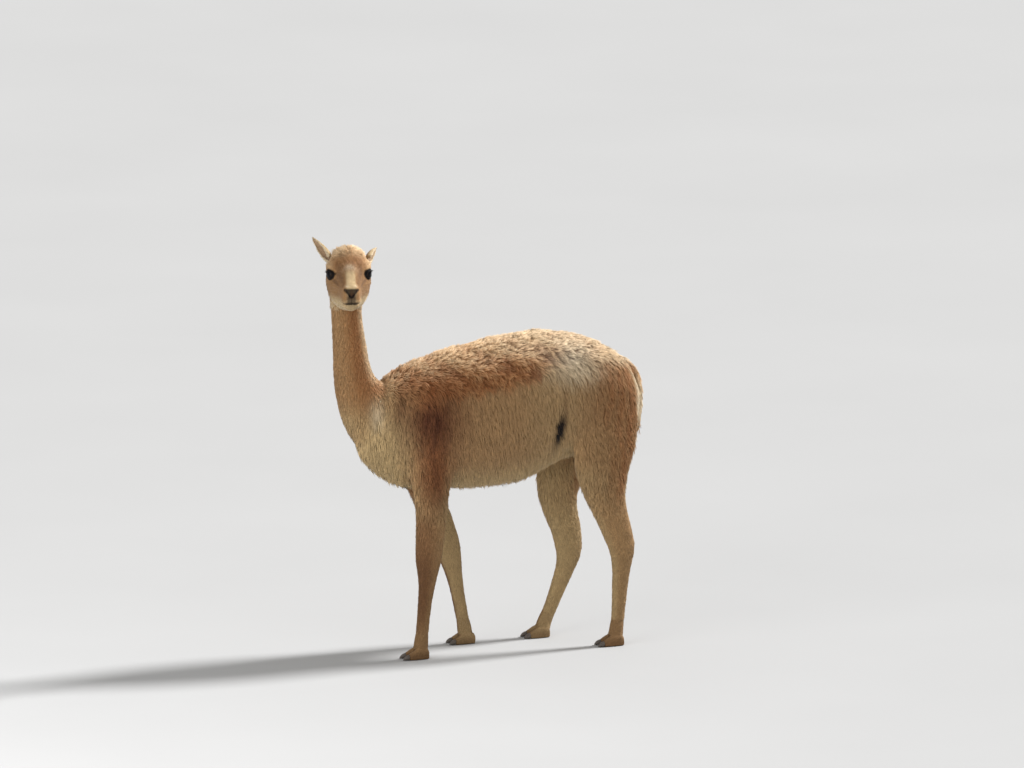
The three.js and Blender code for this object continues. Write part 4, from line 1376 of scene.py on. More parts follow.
def head_fields(points: Array, normals: Array) -> Fields:
    """The coat and the bare places of the head.

    Args:
        points: The skin's points.
        normals: Its normals.

    Returns:
        The fields.
    """
    places = STAND.head_places(points)
    facing = normals @ STAND.axes.T
    f, s, v = places.T
    side = np.abs(s)
    mirrored = np.column_stack([f, side, v])
    fields = Fields.plain(len(points), FACE_HAIR, "beige", Zone.HEAD)
    crown = ease(36, 54, v) * ease(22, -8, f) * ease(-104, -84, f)
    brow = blot(mirrored, (-8, 58, 26), (26, 24, 18))
    muzzle = ease(44, 84, f)
    stump = ease(-92, -110, v) * ease(60, 20, f)
    nape = ease(-72, -96, f)
    cheek = ease(20, -30, f) * ease(10, -30, v)
    fields.grow(NECK_HAIR, np.maximum(stump, nape) * 0.9)
    fields.grow(BROW_HAIR, brow)
    fields.grow(CHEEK_HAIR, cheek)
    fields.grow(CROWN_HAIR, crown)
    fields.place(Zone.CROWN, crown > 0.4)
    fields.grow(MUZZLE_HAIR, muzzle)
    back = -STAND.forward
    fields.flow = np.tile(back, (len(points), 1))
    fields.steer(back * 0.35 + DOWN * 1.0, cheek)
    outward = np.outer(np.sign(s), STAND.leftward)
    fields.steer(back * 0.8 + outward * 0.6 + np.array([0.0, 0.0, 0.5]), np.maximum(brow, crown) * 0.8)
    fields.steer(DOWN, np.maximum(stump, nape))
    wave = np.sin(f / 5.1 + 1.7 * np.sin(s / 6.3)) * np.sin(s / 4.3 + 1.3 * np.sin(f / 7.7))
    above = ease(-0.1, 0.5, facing[:, 2])
    fields.paint("cinnamon", ease(-60, -40, v) * 0.15)
    fields.paint("sand", brow * 0.7, "gold")
    fields.paint("cinnamon", ease(6, 34, v) * ease(50, 10, f) * 0.5, "gold")
    # painted shade: dark umber mottles on the forehead and over the brows, the same on both sides
    forehead_shade = above * blot(mirrored[:, :2], (20, 14), (24, 26))
    fields.paint("umber", forehead_shade * (0.62 + 0.3 * wave), "cinnamon")
    brow_shade = above * blot(mirrored, (12, 30, 28), (18, 14, 18)) * (0.5 + 0.4 * wave)
    fields.paint("umber", brow_shade, "cinnamon")
    fields.paint("gold", ease(38, 58, side) * ease(8, 26, v) * ease(40, 20, f) * 0.6, "white")
    fields.paint("gold", crown, "white")
    fields.paint("cinnamon", crown * (0.2 + 0.2 * wave), "gold")
    fields.paint("cinnamon", nape * 0.9, "gold")
    bridge = ease(48, 66, f) * ease(17, 9, side) * ease(-0.2, 0.4, facing[:, 2])
    fields.paint("cream", bridge * 0.8, "white")
    fields.paint("ash", blot(mirrored[:, :2], (46, 0), (8, 15)) * above * 0.75, "white")
    # painted shadow: a dark umber line down each side of the nose, and one from below the eye's inner
    # corner down the cheek
    nose_side_shadow_at = 30 - 9 * ease(20, 90, f)
    nose_side_shadow = ridge(side - nose_side_shadow_at, 6.5) * ease(18, 34, f) * ease(104, 84, f)
    fields.paint("umber", nose_side_shadow * ease(-0.3, 0.2, facing[:, 2]) * 0.55, "umber")
    eye_corner_shadow = ridge(v + 10 + 0.35 * (f - 20), 5.0) * ease(20, 30, f) * ease(72, 50, f)
    fields.paint("umber", eye_corner_shadow * ease(24, 30, side) * 0.6)
    under = ease(-48, -78, v) * ease(-66, -36, f)
    fields.paint("cream", under, "white")
    fields.paint("cinnamon", np.maximum(stump, nape) * 0.9, "sand")
    fields.paint("sand", blot(mirrored, (96, 8, -76), (22, 20, 12)) * 0.7)
    lip = v - HEAD.mouth_height(f)
    fields.paint("smoke", ridge(lip, 4.0) * ease(84, 106, f) * ease(22, 13, side) * 0.7)
    between = ease(-68, -60, v) * ease(-36, -46, v)
    fields.paint("smoke", ease(104, 112, f) * ease(16, 8, side) * between * 0.8)
    span = np.interp(v, (-48, -36, -25), (5, 12, 20))
    nose = ease(104, 110, f) * ease(-51, -45, v) * ease(-20, -25, v) * ease(span + 3, span - 3, side)
    fields.paint("soot", nose * 0.9)
    fields.paint("umber", blot(mirrored, (121, 0, -34), (10, 6, 10)) * 0.5)
    # painted highlight: a white spot on each bump above the nostrils
    fields.paint("white", blot(mirrored, (110, 15, -15), (9, 7, 4)) * 0.7)
    seam = ease(20, 12, side) * ease(96, 108, f)
    fields.paint("soot", ridge(lip, 2.0) * np.maximum(seam, 0.35 * ease(80, 92, f)))
    hide = np.maximum(nose, ridge(lip, 3.0) * seam)
    for eye in EYES:
        own = eye.own(places)
        apart = np.linalg.norm(own, axis=1)
        width, high, low = eye.opening
        tall = np.where(own[:, 1] > 0, high, low)
        ahead = own[:, 2] > 4
        ring = np.hypot(own[:, 0] / (width / 2 + 4.5), own[:, 1] / (tall + 4.5))
        edge = np.hypot(own[:, 0] / (width / 2 + 1.8), own[:, 1] / (tall + 1.8))
        corner = blot(own[:, :2], (-19, 4), (9, 3.5)) * ahead
        fields.paint("soot", np.maximum(ease(1.22, 0.95, ring) * ahead, corner))
        rim = ease(1.08, 0.96, edge) * ahead
        hide = np.maximum(hide, rim)
        socket = ease(eye.radius + 0.9, eye.radius + 0.5, apart)
        fields.lay[:, 3] *= 1 - np.maximum(rim, socket)
        fields.grow(LID_HAIR, ease(1.7, 1.2, ring) * ahead * (1 - rim) * (1 - socket))
        fields.paint("soot", socket)
    fields.paint("soot", HEAD.nostrils(mirrored, 3.4))
    fields.hide = hide
    fields.lay[:, 3] *= 1 - ease(0.25, 0.6, hide)
    return fields


def ear_fields(points: Array, normals: Array) -> Fields:
    """The coat of the ears, thin inside.

    Args:
        points: The skin's points.
        normals: Its normals.

    Returns:
        The fields.
    """
    fields = Fields.plain(len(points), EAR_HAIR, "sand", Zone.EARS)
    for ear in EARS:
        relative = points - ear.root
        share = relative @ ear.axis / ear.length
        radial = relative - np.outer(share * ear.length, ear.axis)
        mine = np.linalg.norm(radial, axis=1) < 40
        mine &= (share > -0.4) & (share < 1.3)
        inner = ease(0.1, -0.3, (normals * unit(radial)).sum(1))
        turn = np.degrees(np.abs(np.arctan2(radial @ ear.across, -radial @ ear.opening)))
        rim = np.maximum(ease(86, 102, turn), ease(0.86, 0.96, share))
        fields.steer(ear.axis, mine * 1.0)
        fields.paint("cream", mine * ease(20, 80, turn) * 0.8, "white")
        fields.paint("pink", mine * inner * (1 - 0.8 * rim), "cream")
        # painted shade: the inside of the cup darkens towards its base
        fields.paint("umber", mine * inner * ease(0.35, 0.0, share) * 0.4)
        # painted light: the cup's rims and tip are painted white, a lit edge
        fields.paint("white", mine * rim * 0.9)
        fields.lay[:, 3] *= 1 - mine * inner * (1 - rim) * 0.6
        fields.lay[:, 0] += mine * rim * 3 - mine * ease(0.8, 1.0, share) * 4
    return fields


PAINTERS = {Part.TRUNK: trunk_fields, Part.FOOT: foot_fields, Part.HEAD: head_fields, Part.EAR: ear_fields}


@dataclass
class Skin:
    """The whole animal's skin in one piece, with the fields its coat grows by.

    A crease's row holds its place along Y and Z, and how far its smoothing reaches along each.
    """

    limit: int = 196000
    creases: Rows = ((-70, 650, 95, 75), (-545, 500, 70, 75))
    relaxed: int = 24
    lump_height: float = 3.6
    piece: bpy.types.Object = field(init=False)
    fields: Fields = field(init=False)
    points: Array = field(init=False)
    normals: Array = field(init=False)
    kinds: Array = field(init=False)

    def build(self) -> None:
        """Draws, fuses and joins the parts of the skin, and works out its fields."""
        legs = [leg.build(0.24, 2.0) for leg in LEGS]
        trunk = merge("trunk", [Torso().build(), NECK.build(0, 7.4), TAIL.build(), *legs])
        remesh(trunk, 5.5, 6)
        LOG.info("trunk")
        parts = [(trunk, Part.TRUNK)]
        parts += [(Foot(leg).build(), Part.FOOT) for leg in LEGS]
        parts.append((HEAD.build(NECK), Part.HEAD))
        LOG.info("head")
        parts += [(ear.build(), Part.EAR) for ear in EARS]
        others = sum(triangles(piece) for piece, part in parts if part is not Part.TRUNK)
        apply(trunk, "DECIMATE", ratio=min(1.0, (self.limit - others) / triangles(trunk)))
        LOG.info("trunk %d of the skin's %d triangles", triangles(trunk), triangles(trunk) + others)
        for piece, part in parts:
            attach(piece.data, "part", "INT", np.full(len(piece.data.vertices), part.value))
        self.piece = merge("vicuna_skin", [piece for piece, _ in parts])
        apply(self.piece, "TRIANGULATE")
        self.kinds = np.empty(len(self.piece.data.vertices), np.int32)
        self.piece.data.attributes["part"].data.foreach_get("value", self.kinds)
        self.relax()
        self.ruffle()
        self.unwrap()
        self.survey()
        select(self.piece)
        bpy.ops.object.shade_smooth()
        nodes = [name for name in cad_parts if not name.startswith(("eye_", "nail_"))]
        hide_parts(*nodes)

    def relax(self) -> None:
        """Smooths the creases where the thighs and forelegs leave the trunk."""
        points, _ = surface(self.piece)
        edges = np.empty(len(self.piece.data.edges) * 2, np.int32)
        self.piece.data.edges.foreach_get("vertices", edges)
        ends = np.concatenate([edges, edges.reshape(-1, 2)[:, ::-1].ravel()]).reshape(-1, 2)
        count = np.maximum(np.bincount(ends[:, 0], minlength=len(points)), 1)[:, None]
        weight = np.max([blot(points[:, 1:], row[:2], row[2:]) for row in self.creases], axis=0)
        weight = (np.minimum(weight * 1.6, 1.0) * ease(60, 85, np.abs(points[:, 0])))[:, None]
        for _ in range(self.relaxed):
            sums = [np.bincount(ends[:, 0], points[ends[:, 1], k], minlength=len(points)) for k in range(3)]
            points = points * (1 - 0.6 * weight) + np.stack(sums, 1) / count * 0.6 * weight
        reform(self.piece, points)

    def ruffle(self) -> None:
        """Raises soft lumps of wool on the back and weaker ones on the flanks."""
        points, normals = surface(self.piece)
        y, z = points[:, 1], points[:, 2]
        wool = ease(730, 800, z) * ease(-660, -600, y) * (0.35 + 0.65 * ease(0.0, 0.5, normals[:, 2]))
        wool = np.maximum(wool, 0.22 * ease(-700, -620, y) * ease(470, 540, z))
        wool *= (self.kinds == Part.TRUNK.value) * (1 - NECK.share(points))
        reform(self.piece, points + normals * (self.lump_height * lumps(points) * wool)[:, None])

    def unwrap(self) -> None:
        """Unwraps the skin for the coat's bake places."""
        layers = self.piece.data.uv_layers
        while layers:
            layers.remove(layers[0])
        layers.new(name="OFBake")
        edit(self.piece, lambda: bpy.ops.uv.smart_project(angle_limit=1.15, island_margin=0.002))

    def survey(self) -> None:
        """Works out the fields and writes the markings on the skin."""
        self.points, self.normals = surface(self.piece)
        total = Fields.plain(len(self.points), FLANK, "beige", Zone.BARREL)
        for part, painter in PAINTERS.items():
            mine = self.kinds == part.value
            found = painter(self.points[mine], self.normals[mine])
            for name, values in vars(found).items():
                getattr(total, name)[mine] = values
        self.fields = total
        # painted shade: the skin under the tufts is the coat's colour darkened to 0.8
        under = mix(total.colour, total.tips, np.full(len(self.points), 0.3)) * 0.8
        attach(self.piece.data, "coat", "FLOAT_COLOR", np.column_stack([under, total.hide]))

    def corners(self) -> tuple[Array, Array]:
        """Reads the skin's triangles.

        Returns:
            Their vertices' numbers and their corners' bake places.
        """
        mesh = self.piece.data
        mesh.calc_loop_triangles()
        count = len(mesh.loop_triangles)
        vertices, loops = np.empty(count * 3, np.int32), np.empty(count * 3, np.int32)
        mesh.loop_triangles.foreach_get("vertices", vertices)
        mesh.loop_triangles.foreach_get("loops", loops)
        places = np.empty(len(mesh.loops) * 2)
        mesh.uv_layers["OFBake"].data.foreach_get("uv", places)
        return vertices.reshape(-1, 3), places.reshape(-1, 2)[loops].reshape(-1, 3, 2)


@dataclass
class Coat:
    """The three-sided tapered tufts that grow from the skin."""

    skin: Skin
    shares: tuple[float, ...] = (0.0, 0.34, 0.7, 1.0)
    sink: float = 1.6
    sag: float = 0.10
    roll: float = 0.35
    thickness: float = 0.4
    softness: float = 1.0
    clump_tone: float = 0.05
    tuft_tone: float = 0.09
    root_shade: float = 0.58
    bake_reach: float = 0.0014
    fine_limit: int = 12000
    plain_limit: int = 19000

    def sow(self) -> None:
        """Chooses every tuft's root on the skin and reads the fields there, the trunk's colours anew."""
        rng = np.random.default_rng(SEED)
        rows, places = self.skin.corners()
        corner = self.skin.points[rows]
        first, second = corner[:, 1] - corner[:, 0], corner[:, 2] - corner[:, 0]
        area = np.linalg.norm(np.cross(first, second), axis=1) / 2
        fields = self.skin.fields
        expected = area * fields.lay[:, 3][rows].mean(1)
        count = np.floor(expected + rng.random(len(expected))).astype(int)
        chosen = np.repeat(np.arange(len(count)), count)
        a, b = rng.random((2, len(chosen)))
        over = a + b > 1
        a, b = np.where(over, 1 - a, a), np.where(over, 1 - b, b)
        weight = np.column_stack([1 - a - b, a, b])[:, :, None]
        at = rows[chosen]

        def read(values: Array) -> Array:
            """Values of the skin's points at the roots."""
            return (values[at] * weight).sum(1)

        self.roots, self.normals = read(self.skin.points), unit(read(self.skin.normals))
        self.lay, self.colour, self.tips = read(fields.lay), read(fields.colour), read(fields.tips)
        trunk = self.skin.kinds[at[:, 0]] == Part.TRUNK.value
        found = trunk_fields(self.roots[trunk], self.normals[trunk])
        self.colour[trunk], self.tips[trunk] = found.colour, found.tips
        self.flow = self.lie(read(fields.flow))
        self.bake = (places[chosen] * weight).sum(1)
        self.zone = fields.zone[at[np.arange(len(at)), weight[:, :, 0].argmax(1)]]
        self.rng = rng

    def lie(self, flow: Array) -> Array:
        """Ways to flow laid along the skin and brought to a length of 1."""
        return unit(flow - (flow * self.normals).sum(1)[:, None] * self.normals)

    def clump(self) -> None:
        """Gathers the tufts into clumps that share a way, a length and a tone."""
        rng = self.rng
        keep = rng.random(len(self.roots)) < 1 / np.maximum(self.lay[:, 3] * self.lay[:, 5] ** 2, 1.0)
        centres = np.flatnonzero(keep)
        tree = KDTree(len(centres))
        for index, root in enumerate(self.roots[centres]):
            tree.insert(root, index)
        tree.balance()
        order = np.array([tree.find(root)[1] for root in self.roots])
        self.leader = centres[order]
        clumps = len(centres)
        self.tone = rng.normal(0, 1, clumps)[order]
        self.stretch = np.exp(rng.normal(0, 0.12, clumps))[order]
        loose = self.lay[:, 6][:, None]
        sway = rng.normal(0, 1.0, (clumps, 3))[order] * loose
        stray = rng.normal(0, 0.7, (len(order), 3)) * loose
        self.way = self.lie(self.flow + sway + stray)

    def paths(self) -> Array:
        """Where each tuft's middle line runs.

        Returns:
            One row of points for each share and tuft.
        """
        length = self.lay[:, 0] * self.stretch * np.exp(self.rng.normal(0, 0.1, len(self.roots)))
        lift = np.radians(self.lay[:, 1]) * (1 + self.rng.normal(0, 0.18, len(self.roots)))
        rise, run = np.sin(lift)[:, None], np.cos(lift)[:, None]
        lines = []
        for t in self.shares:
            way = self.normals * rise * (t - 0.38 * t * t) + self.way * run * t + DOWN * self.sag * t * t
            lines.append(self.roots + way * length[:, None])
        lines = np.stack(lines)
        pull = self.lay[:, 4][None, :] * np.array(self.shares)[:, None] ** 1.3
        return lines * (1 - pull[..., None]) + lines[:, self.leader] * pull[..., None]

    def build(self, material: bpy.types.Material) -> None:
        """Builds the coat's pieces.

        Args:
            material: The coat's material.
        """
        self.sow()
        self.clump()
        lines, shares = self.paths(), np.array(self.shares)
        for index, zone in enumerate(ZONES):
            mine = np.flatnonzero(self.zone == index)
            if not len(mine):
                continue
            name, slot, rings = zone.value
            steps = [0, 1, 2, 3] if rings == 2 else [0, 1, 3]
            limit = self.fine_limit if rings == 2 else self.plain_limit
            for batch, some in enumerate(np.array_split(mine, -(-len(mine) // limit))):
                label = name if len(mine) <= limit else f"{name}_{batch + 1}"
                tufts = self.mesh(label, some, lines[steps][:, some], shares[steps])
                tufts.data.materials.append(material)
                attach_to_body(tufts, BODY)
                LOG.info("%s %d", label, len(some))

    def mesh(self, name: str, some: Array, lines: Array, shares: Array) -> bpy.types.Object:
        """Builds one piece of coat.

        Args:
            name: The piece's name.
            some: The tufts' numbers.
            lines: Their middle lines' points.
            shares: Where along a tuft these points are.

        Returns:
            The piece.
        """
        count, rings = len(some), len(shares) - 1
        ahead = unit(lines[-1] - lines[0])
        up = self.normals[some] + self.rng.normal(0, self.roll, (count, 3))
        up = unit(up - (up * ahead).sum(1)[:, None] * ahead)
        across = np.cross(ahead, up)
        width = self.lay[some, 2] * np.exp(self.rng.normal(0, 0.15, count))
        girth = [0.8, 1.0, 0.62] if rings == 3 else [0.9, 0.8]
        points, strand = [], []
        random = self.rng.random(count)
        for k in range(rings):
            middle = lines[k] - (self.normals[some] * self.sink if k == 0 else 0)
            half = (girth[k] * width / 2)[:, None]
            for a in TRIANGLE:
                points.append(middle + across * np.cos(a) * half + up * np.sin(a) * half * self.thickness)
                side, height = np.full(count, np.cos(a)), np.full(count, shares[k])
                strand.append(np.column_stack([side, height, random]))
        points.append(lines[-1])
        strand.append(np.column_stack([np.zeros(count), np.ones(count), random]))
        each = len(points)
        points, strand = (np.stack(rows, 1).reshape(-1, 3) for rows in (points, strand))
        faces = np.array(tuft_faces(rings))[None] + each * np.arange(count)[:, None, None]
        faces = faces.reshape(-1, 3)
        mesh = bpy.data.meshes.new(name)
        mesh.vertices.add(len(points))
        mesh.vertices.foreach_set("co", STAND.metres(points).ravel())
        mesh.loops.add(faces.size)
        mesh.loops.foreach_set("vertex_index", faces.ravel().astype(np.int32))
        mesh.polygons.add(len(faces))
        mesh.polygons.foreach_set("loop_start", np.arange(0, faces.size, 3, dtype=np.int32))
        mesh.polygons.foreach_set("use_smooth", np.ones(len(faces), bool))
        mesh.update(calc_edges=True)
        heights = np.array([*np.repeat(shares[:rings], 3), 1.0])
        attach(mesh, "coat", "FLOAT_COLOR", self.colours(some, heights))
        attach(mesh, "strand", "FLOAT_VECTOR", strand)
        corner = np.column_stack([strand[:, 0], strand[:, 1] * 2 - 1]) * self.bake_reach
        bake = np.repeat(self.bake[some], each, axis=0) + corner
        mesh.uv_layers.new(name="OFBake").data.foreach_set("uv", bake[faces.ravel()].ravel())
        own = np.empty(len(points) * 3, np.float32)
        mesh.vertex_normals.foreach_get("vector", own)
        skin = np.repeat(self.normals[some], each, axis=0)
        mesh.normals_split_custom_set_from_vertices(unit(own.reshape(-1, 3) + self.softness * skin))
        return put(name, mesh)

    def colours(self, some: Array, shares: Array) -> Array:
        """The tufts' colours, darker at the root with painted shade.

        Args:
            some: The tufts' numbers.
            shares: Where along a tuft its vertices are.

        Returns:
            A row of red, green, blue and 0 for each vertex.
        """
        tone = 1 + self.clump_tone * self.tone[some] + self.rng.normal(0, self.tuft_tone, len(some))
        base, tips = self.colour[some] * tone[:, None], self.tips[some] * tone[:, None]
        t = shares[None, :, None]
        # painted shade: each tuft darkens towards its root
        shade = self.root_shade + (1 - self.root_shade) * np.clip(t * 1.9, 0, 1)
        colour = np.clip((base[:, None] * (1 - t**1.5) + tips[:, None] * t**1.5) * shade, 0, 1)
        return np.concatenate([colour, np.zeros((*colour.shape[:2], 1))], 2).reshape(-1, 4)


TRIANGLE = np.radians([90.0, 210.0, 330.0])


def tuft_faces(rings: int) -> list[tuple[int, int, int]]:
    """The faces of a three-sided spike.

    Args:
        rings: How many rings of three vertices stand below its tip's one.

    Returns:
        Each face's vertices by number.
    """
    faces = [(0, 1, 2)]
    for k in range(0, 3 * rings, 3):
        for i, j in ((0, 1), (1, 2), (2, 0)):
            if k < 3 * (rings - 1):
                faces += [(k + i, k + 3 + i, k + 3 + j), (k + i, k + 3 + j, k + j)]
            else:
                faces.append((k + i, 3 * rings, k + j))
    return faces


@dataclass(frozen=True)
class Finish:
    """A surface's shine."""

    roughness: float
    specular: float
    sheen: float = 0.0


FUR = Finish(0.82, 0.2, 0.1)
HIDE = Finish(0.75, 0.1, 0.03)
HORN = Finish(0.5, 0.4)
EYE = Finish(0.05, 0.10)
LASH = Finish(0.55, 0.3)
MATT = Finish(0.9, 0.2)


def add_node(tree: bpy.types.NodeTree, kind: str, values: dict, **settings: object) -> bpy.types.Node:
    """Adds a node to a tree.

    Args:
        tree: The tree.
        kind: The node's type.
        values: Its sockets' values or links by name or number.
        settings: Its own values by name.

    Returns:
        The node.
    """
    node = tree.nodes.new(kind)
    for name, value in settings.items():
        setattr(node, name, value)
    for name, value in values.items():
        if isinstance(value, bpy.types.NodeSocket):
            tree.links.new(value, node.inputs[name])
        else:
            node.inputs[name].default_value = value
    return node


def mottle_group() -> bpy.types.NodeTree:
    """The effect that the fur and the skin share: a pattern that darkens and lightens a colour.

    Returns:
        The group.
    """
    tree = bpy.data.node_groups.new("mottle", "ShaderNodeTree")
    for name, kind in {"Colour": "Color", "Pattern": "Float", "Dark": "Float", "Light": "Float"}.items():
        tree.interface.new_socket(name, in_out="INPUT", socket_type=f"NodeSocket{kind}")
    tree.interface.new_socket("Mottled", in_out="OUTPUT", socket_type="NodeSocketColor")
    given = add_node(tree, "NodeGroupInput", {}).outputs
    span = {0: given["Pattern"], 1: 0.3, 2: 0.7, 3: given["Dark"], 4: given["Light"]}
    level = add_node(tree, "ShaderNodeMapRange", span).outputs[0]
    tint = add_node(tree, "ShaderNodeCombineColor", dict.fromkeys(range(3), level)).outputs[0]
    both = {0: 1.0, 6: given["Colour"], 7: tint}
    mixed = add_node(tree, "ShaderNodeMix", both, data_type="RGBA", blend_type="MULTIPLY")
    add_node(tree, "NodeGroupOutput", {"Mottled": mixed.outputs[2]})
    return tree


class Shader:
    """A material whose nodes are added one by one."""

    def __init__(self, name: str, finish: Finish) -> None:
        """Makes the material and sets its constant values."""
        self.material = bpy.data.materials.new(name)
        self.material.use_nodes = True
        self.tree = self.material.node_tree
        self.surface = self.tree.nodes["Principled BSDF"]
        self.surface.inputs["Roughness"].default_value = finish.roughness
        self.surface.inputs["Specular IOR Level"].default_value = finish.specular
        self.surface.inputs["Sheen Weight"].default_value = finish.sheen
        self.surface.inputs["Sheen Roughness"].default_value = 0.5

    def add(self, kind: str, values: dict, out: int | str = 0, **settings: object) -> bpy.types.NodeSocket:
        """Adds a node and gives one of its outputs."""
        return add_node(self.tree, kind, values, **settings).outputs[out]

    def where(self) -> bpy.types.NodeSocket:
        """Places on the object."""
        return self.add("ShaderNodeTexCoord", {}, "Object")

    def carried(self, name: str, output: str) -> bpy.types.NodeSocket:
        """One of the mesh's own attributes."""
        return self.add("ShaderNodeAttribute", {}, output, attribute_name=name)

    def noise(self, where: bpy.types.NodeSocket, scale: float, detail: float) -> bpy.types.NodeSocket:
        """A cloudy pattern from 0 to 1."""
        return self.add("ShaderNodeTexNoise", {"Vector": where, "Scale": scale, "Detail": detail}, "Fac")

    def span(self, level: bpy.types.NodeSocket, *ends: float) -> bpy.types.NodeSocket:
        """A level between the first two ends, laid between the last two."""
        return self.add("ShaderNodeMapRange", {0: level, **dict(enumerate(ends, 1))})

    def mottle(self, colour: object, pattern: object, dark: float, light: float) -> bpy.types.NodeSocket:
        """A colour darkened and lightened by a pattern."""
        group = bpy.data.node_groups.get("mottle") or mottle_group()
        return self.add("ShaderNodeGroup", dict(enumerate((colour, pattern, dark, light))), node_tree=group)

    def mixed(self, share: object, first: object, second: object) -> bpy.types.NodeSocket:
        """The first of two colours where share is 0 and the second where it is 1."""
        return self.add("ShaderNodeMix", {0: share, 6: first, 7: second}, 2, data_type="RGBA")

    def link(self, name: str, socket: bpy.types.NodeSocket) -> None:
        """Links a socket to the surface shader."""
        self.tree.links.new(socket, self.surface.inputs[name])

    def bump(self, height: bpy.types.NodeSocket, strength: float, depth: float) -> None:
        """Raises the surface by a height."""
        values = {"Height": height, "Strength": strength, "Distance": depth}
        self.link("Normal", self.add("ShaderNodeBump", values))


def coat_material() -> bpy.types.Material:
    """The tufts' fur: their own colours, streaked along as fine fibres.

    Returns:
        The material.
    """
    shader = Shader("fur", FUR)
    stretched = {0: shader.carried("strand", "Vector"), 1: (3.2, 0.9, 61.0)}
    fibres = shader.noise(shader.add("ShaderNodeVectorMath", stretched, operation="MULTIPLY"), 2.0, 3.0)
    shader.link("Base Color", shader.mottle(shader.carried("coat", "Color"), fibres, 0.72, 1.22))
    shader.bump(fibres, 0.35, 0.0006)
    return shader.material


def skin_material() -> bpy.types.Material:
    """The skin under and between the tufts, with its bare leathery places.

    Returns:
        The material.
    """
    shader = Shader("skin", HIDE)
    where, bare = shader.where(), shader.carried("coat", "Alpha")
    hair, patches = shader.noise(where, 420.0, 4.0), shader.noise(where, 38.0, 3.0)
    pores = shader.add("ShaderNodeTexVoronoi", {"Vector": where, "Scale": 900.0}, "Distance")
    colour = shader.mottle(shader.carried("coat", "Color"), hair, 0.68, 1.2)
    shader.link("Base Color", shader.mottle(colour, patches, 0.88, 1.1))
    shader.link("Roughness", shader.span(bare, 0.0, 1.0, 0.85, 0.42))
    shader.bump(shader.add("ShaderNodeMix", {0: bare, 2: hair, 3: pores}), 0.5, 0.0008)
    return shader.material


def eye_material() -> bpy.types.Material:
    """The dark glossy eye with a faint brown iris round a wide pupil.

    Returns:
        The material.
    """
    shader = Shader("eye", EYE)
    iris = shader.span(shader.carried("iris", "Fac"), 0.72, 0.9, 0.0, 1.0)
    ramp = add_node(shader.tree, "ShaderNodeValToRGB", {0: iris})
    stops = ramp.color_ramp.elements
    stops[0].position, stops[0].color = 0.0, (0.010, 0.007, 0.006, 1)
    stops[1].position, stops[1].color = 1.0, (0.003, 0.003, 0.004, 1)
    stops.new(0.35).color = (0.035, 0.018, 0.009, 1)
    shader.link("Base Color", ramp.outputs[0])
    return shader.material


def horn_material() -> bpy.types.Material:
    """The nails' dark worn horn, ringed across its growth.

    Returns:
        The material.
    """
    shader = Shader("horn", HORN)
    where = shader.where()
    waves = {"Vector": where, "Scale": 190.0, "Distortion": 3.0, "Detail": 2.0}
    rings = shader.add("ShaderNodeTexWave", waves, "Fac", bands_direction="Y")
    grain = shader.noise(where, 260.0, 4.0)
    shader.link("Base Color", shader.mixed(grain, (0.045, 0.036, 0.030, 1), (0.16, 0.13, 0.105, 1)))
    shader.bump(shader.add("ShaderNodeMix", {0: 0.6, 2: rings, 3: grain}), 0.4, 0.0005)
    return shader.material


def lash_material() -> bpy.types.Material:
    """The lashes' near-black hair.

    Returns:
        The material.
    """
    shader = Shader("lash", LASH)
    grain = shader.noise(shader.where(), 700.0, 2.0)
    shader.link("Base Color", shader.mixed(grain, (0.010, 0.008, 0.007, 1), (0.045, 0.032, 0.025, 1)))
    return shader.material


@dataclass
class Lashes:
    """The upper lids' lashes as fine curved spikes."""

    count: int = 46
    length: float = 8.5
    girths: Point = (0.28, 0.2, 0.0)
    lift: float = 1.2

    def build(self, material: bpy.types.Material) -> bpy.types.Object:
        """Builds the lashes.

        Args:
            material: Their material.

        Returns:
            The lashes.
        """
        rng = np.random.default_rng(SEED + 1)
        points, faces = [], []
        for eye in EYES:
            width, high, _ = eye.opening
            for x in np.linspace(-0.92, 0.92, self.count):
                x = x + rng.normal(0, 0.012)
                own = np.array([x * width / 2, high * (1 - abs(x) ** 2.2) ** 0.8 + 0.3, 0.0])
                own[2] = math.sqrt(max((eye.radius + self.lift) ** 2 - own[0] ** 2 - own[1] ** 2, 1.0))
                fan = np.array([0.35 * x, -0.15, 1.0]) + rng.normal(0, 0.07, 3)
                long = self.length * (1 - 0.35 * abs(x)) * math.exp(rng.normal(0, 0.12))
                steps = [own, own + unit(fan) * long * 0.5, own + unit(fan + [0.1 * x, 0.35, -0.1]) * long]
                first = len(points)
                for centre, size in zip(steps, self.girths):
                    for a in TRIANGLE if size else [0.0]:
                        local = centre + size * np.array([math.cos(a), math.sin(a), 0.0])
                        place = eye.places + local[0] * eye.across + local[2] * eye.ahead
                        points.append(STAND.head_point(place + [0, 0, local[1]]))
                faces += (np.array(tuft_faces(2))[:, :: eye.side] + first).tolist()
        mesh = bpy.data.meshes.new("lashes")
        mesh.from_pydata([tuple(p) for p in STAND.metres(points)], [], faces)
        piece = put("lashes", mesh)
        edit(piece, lambda: bpy.ops.mesh.normals_make_consistent(inside=False))
        bpy.ops.object.shade_smooth()
        mesh.materials.append(material)
        return piece


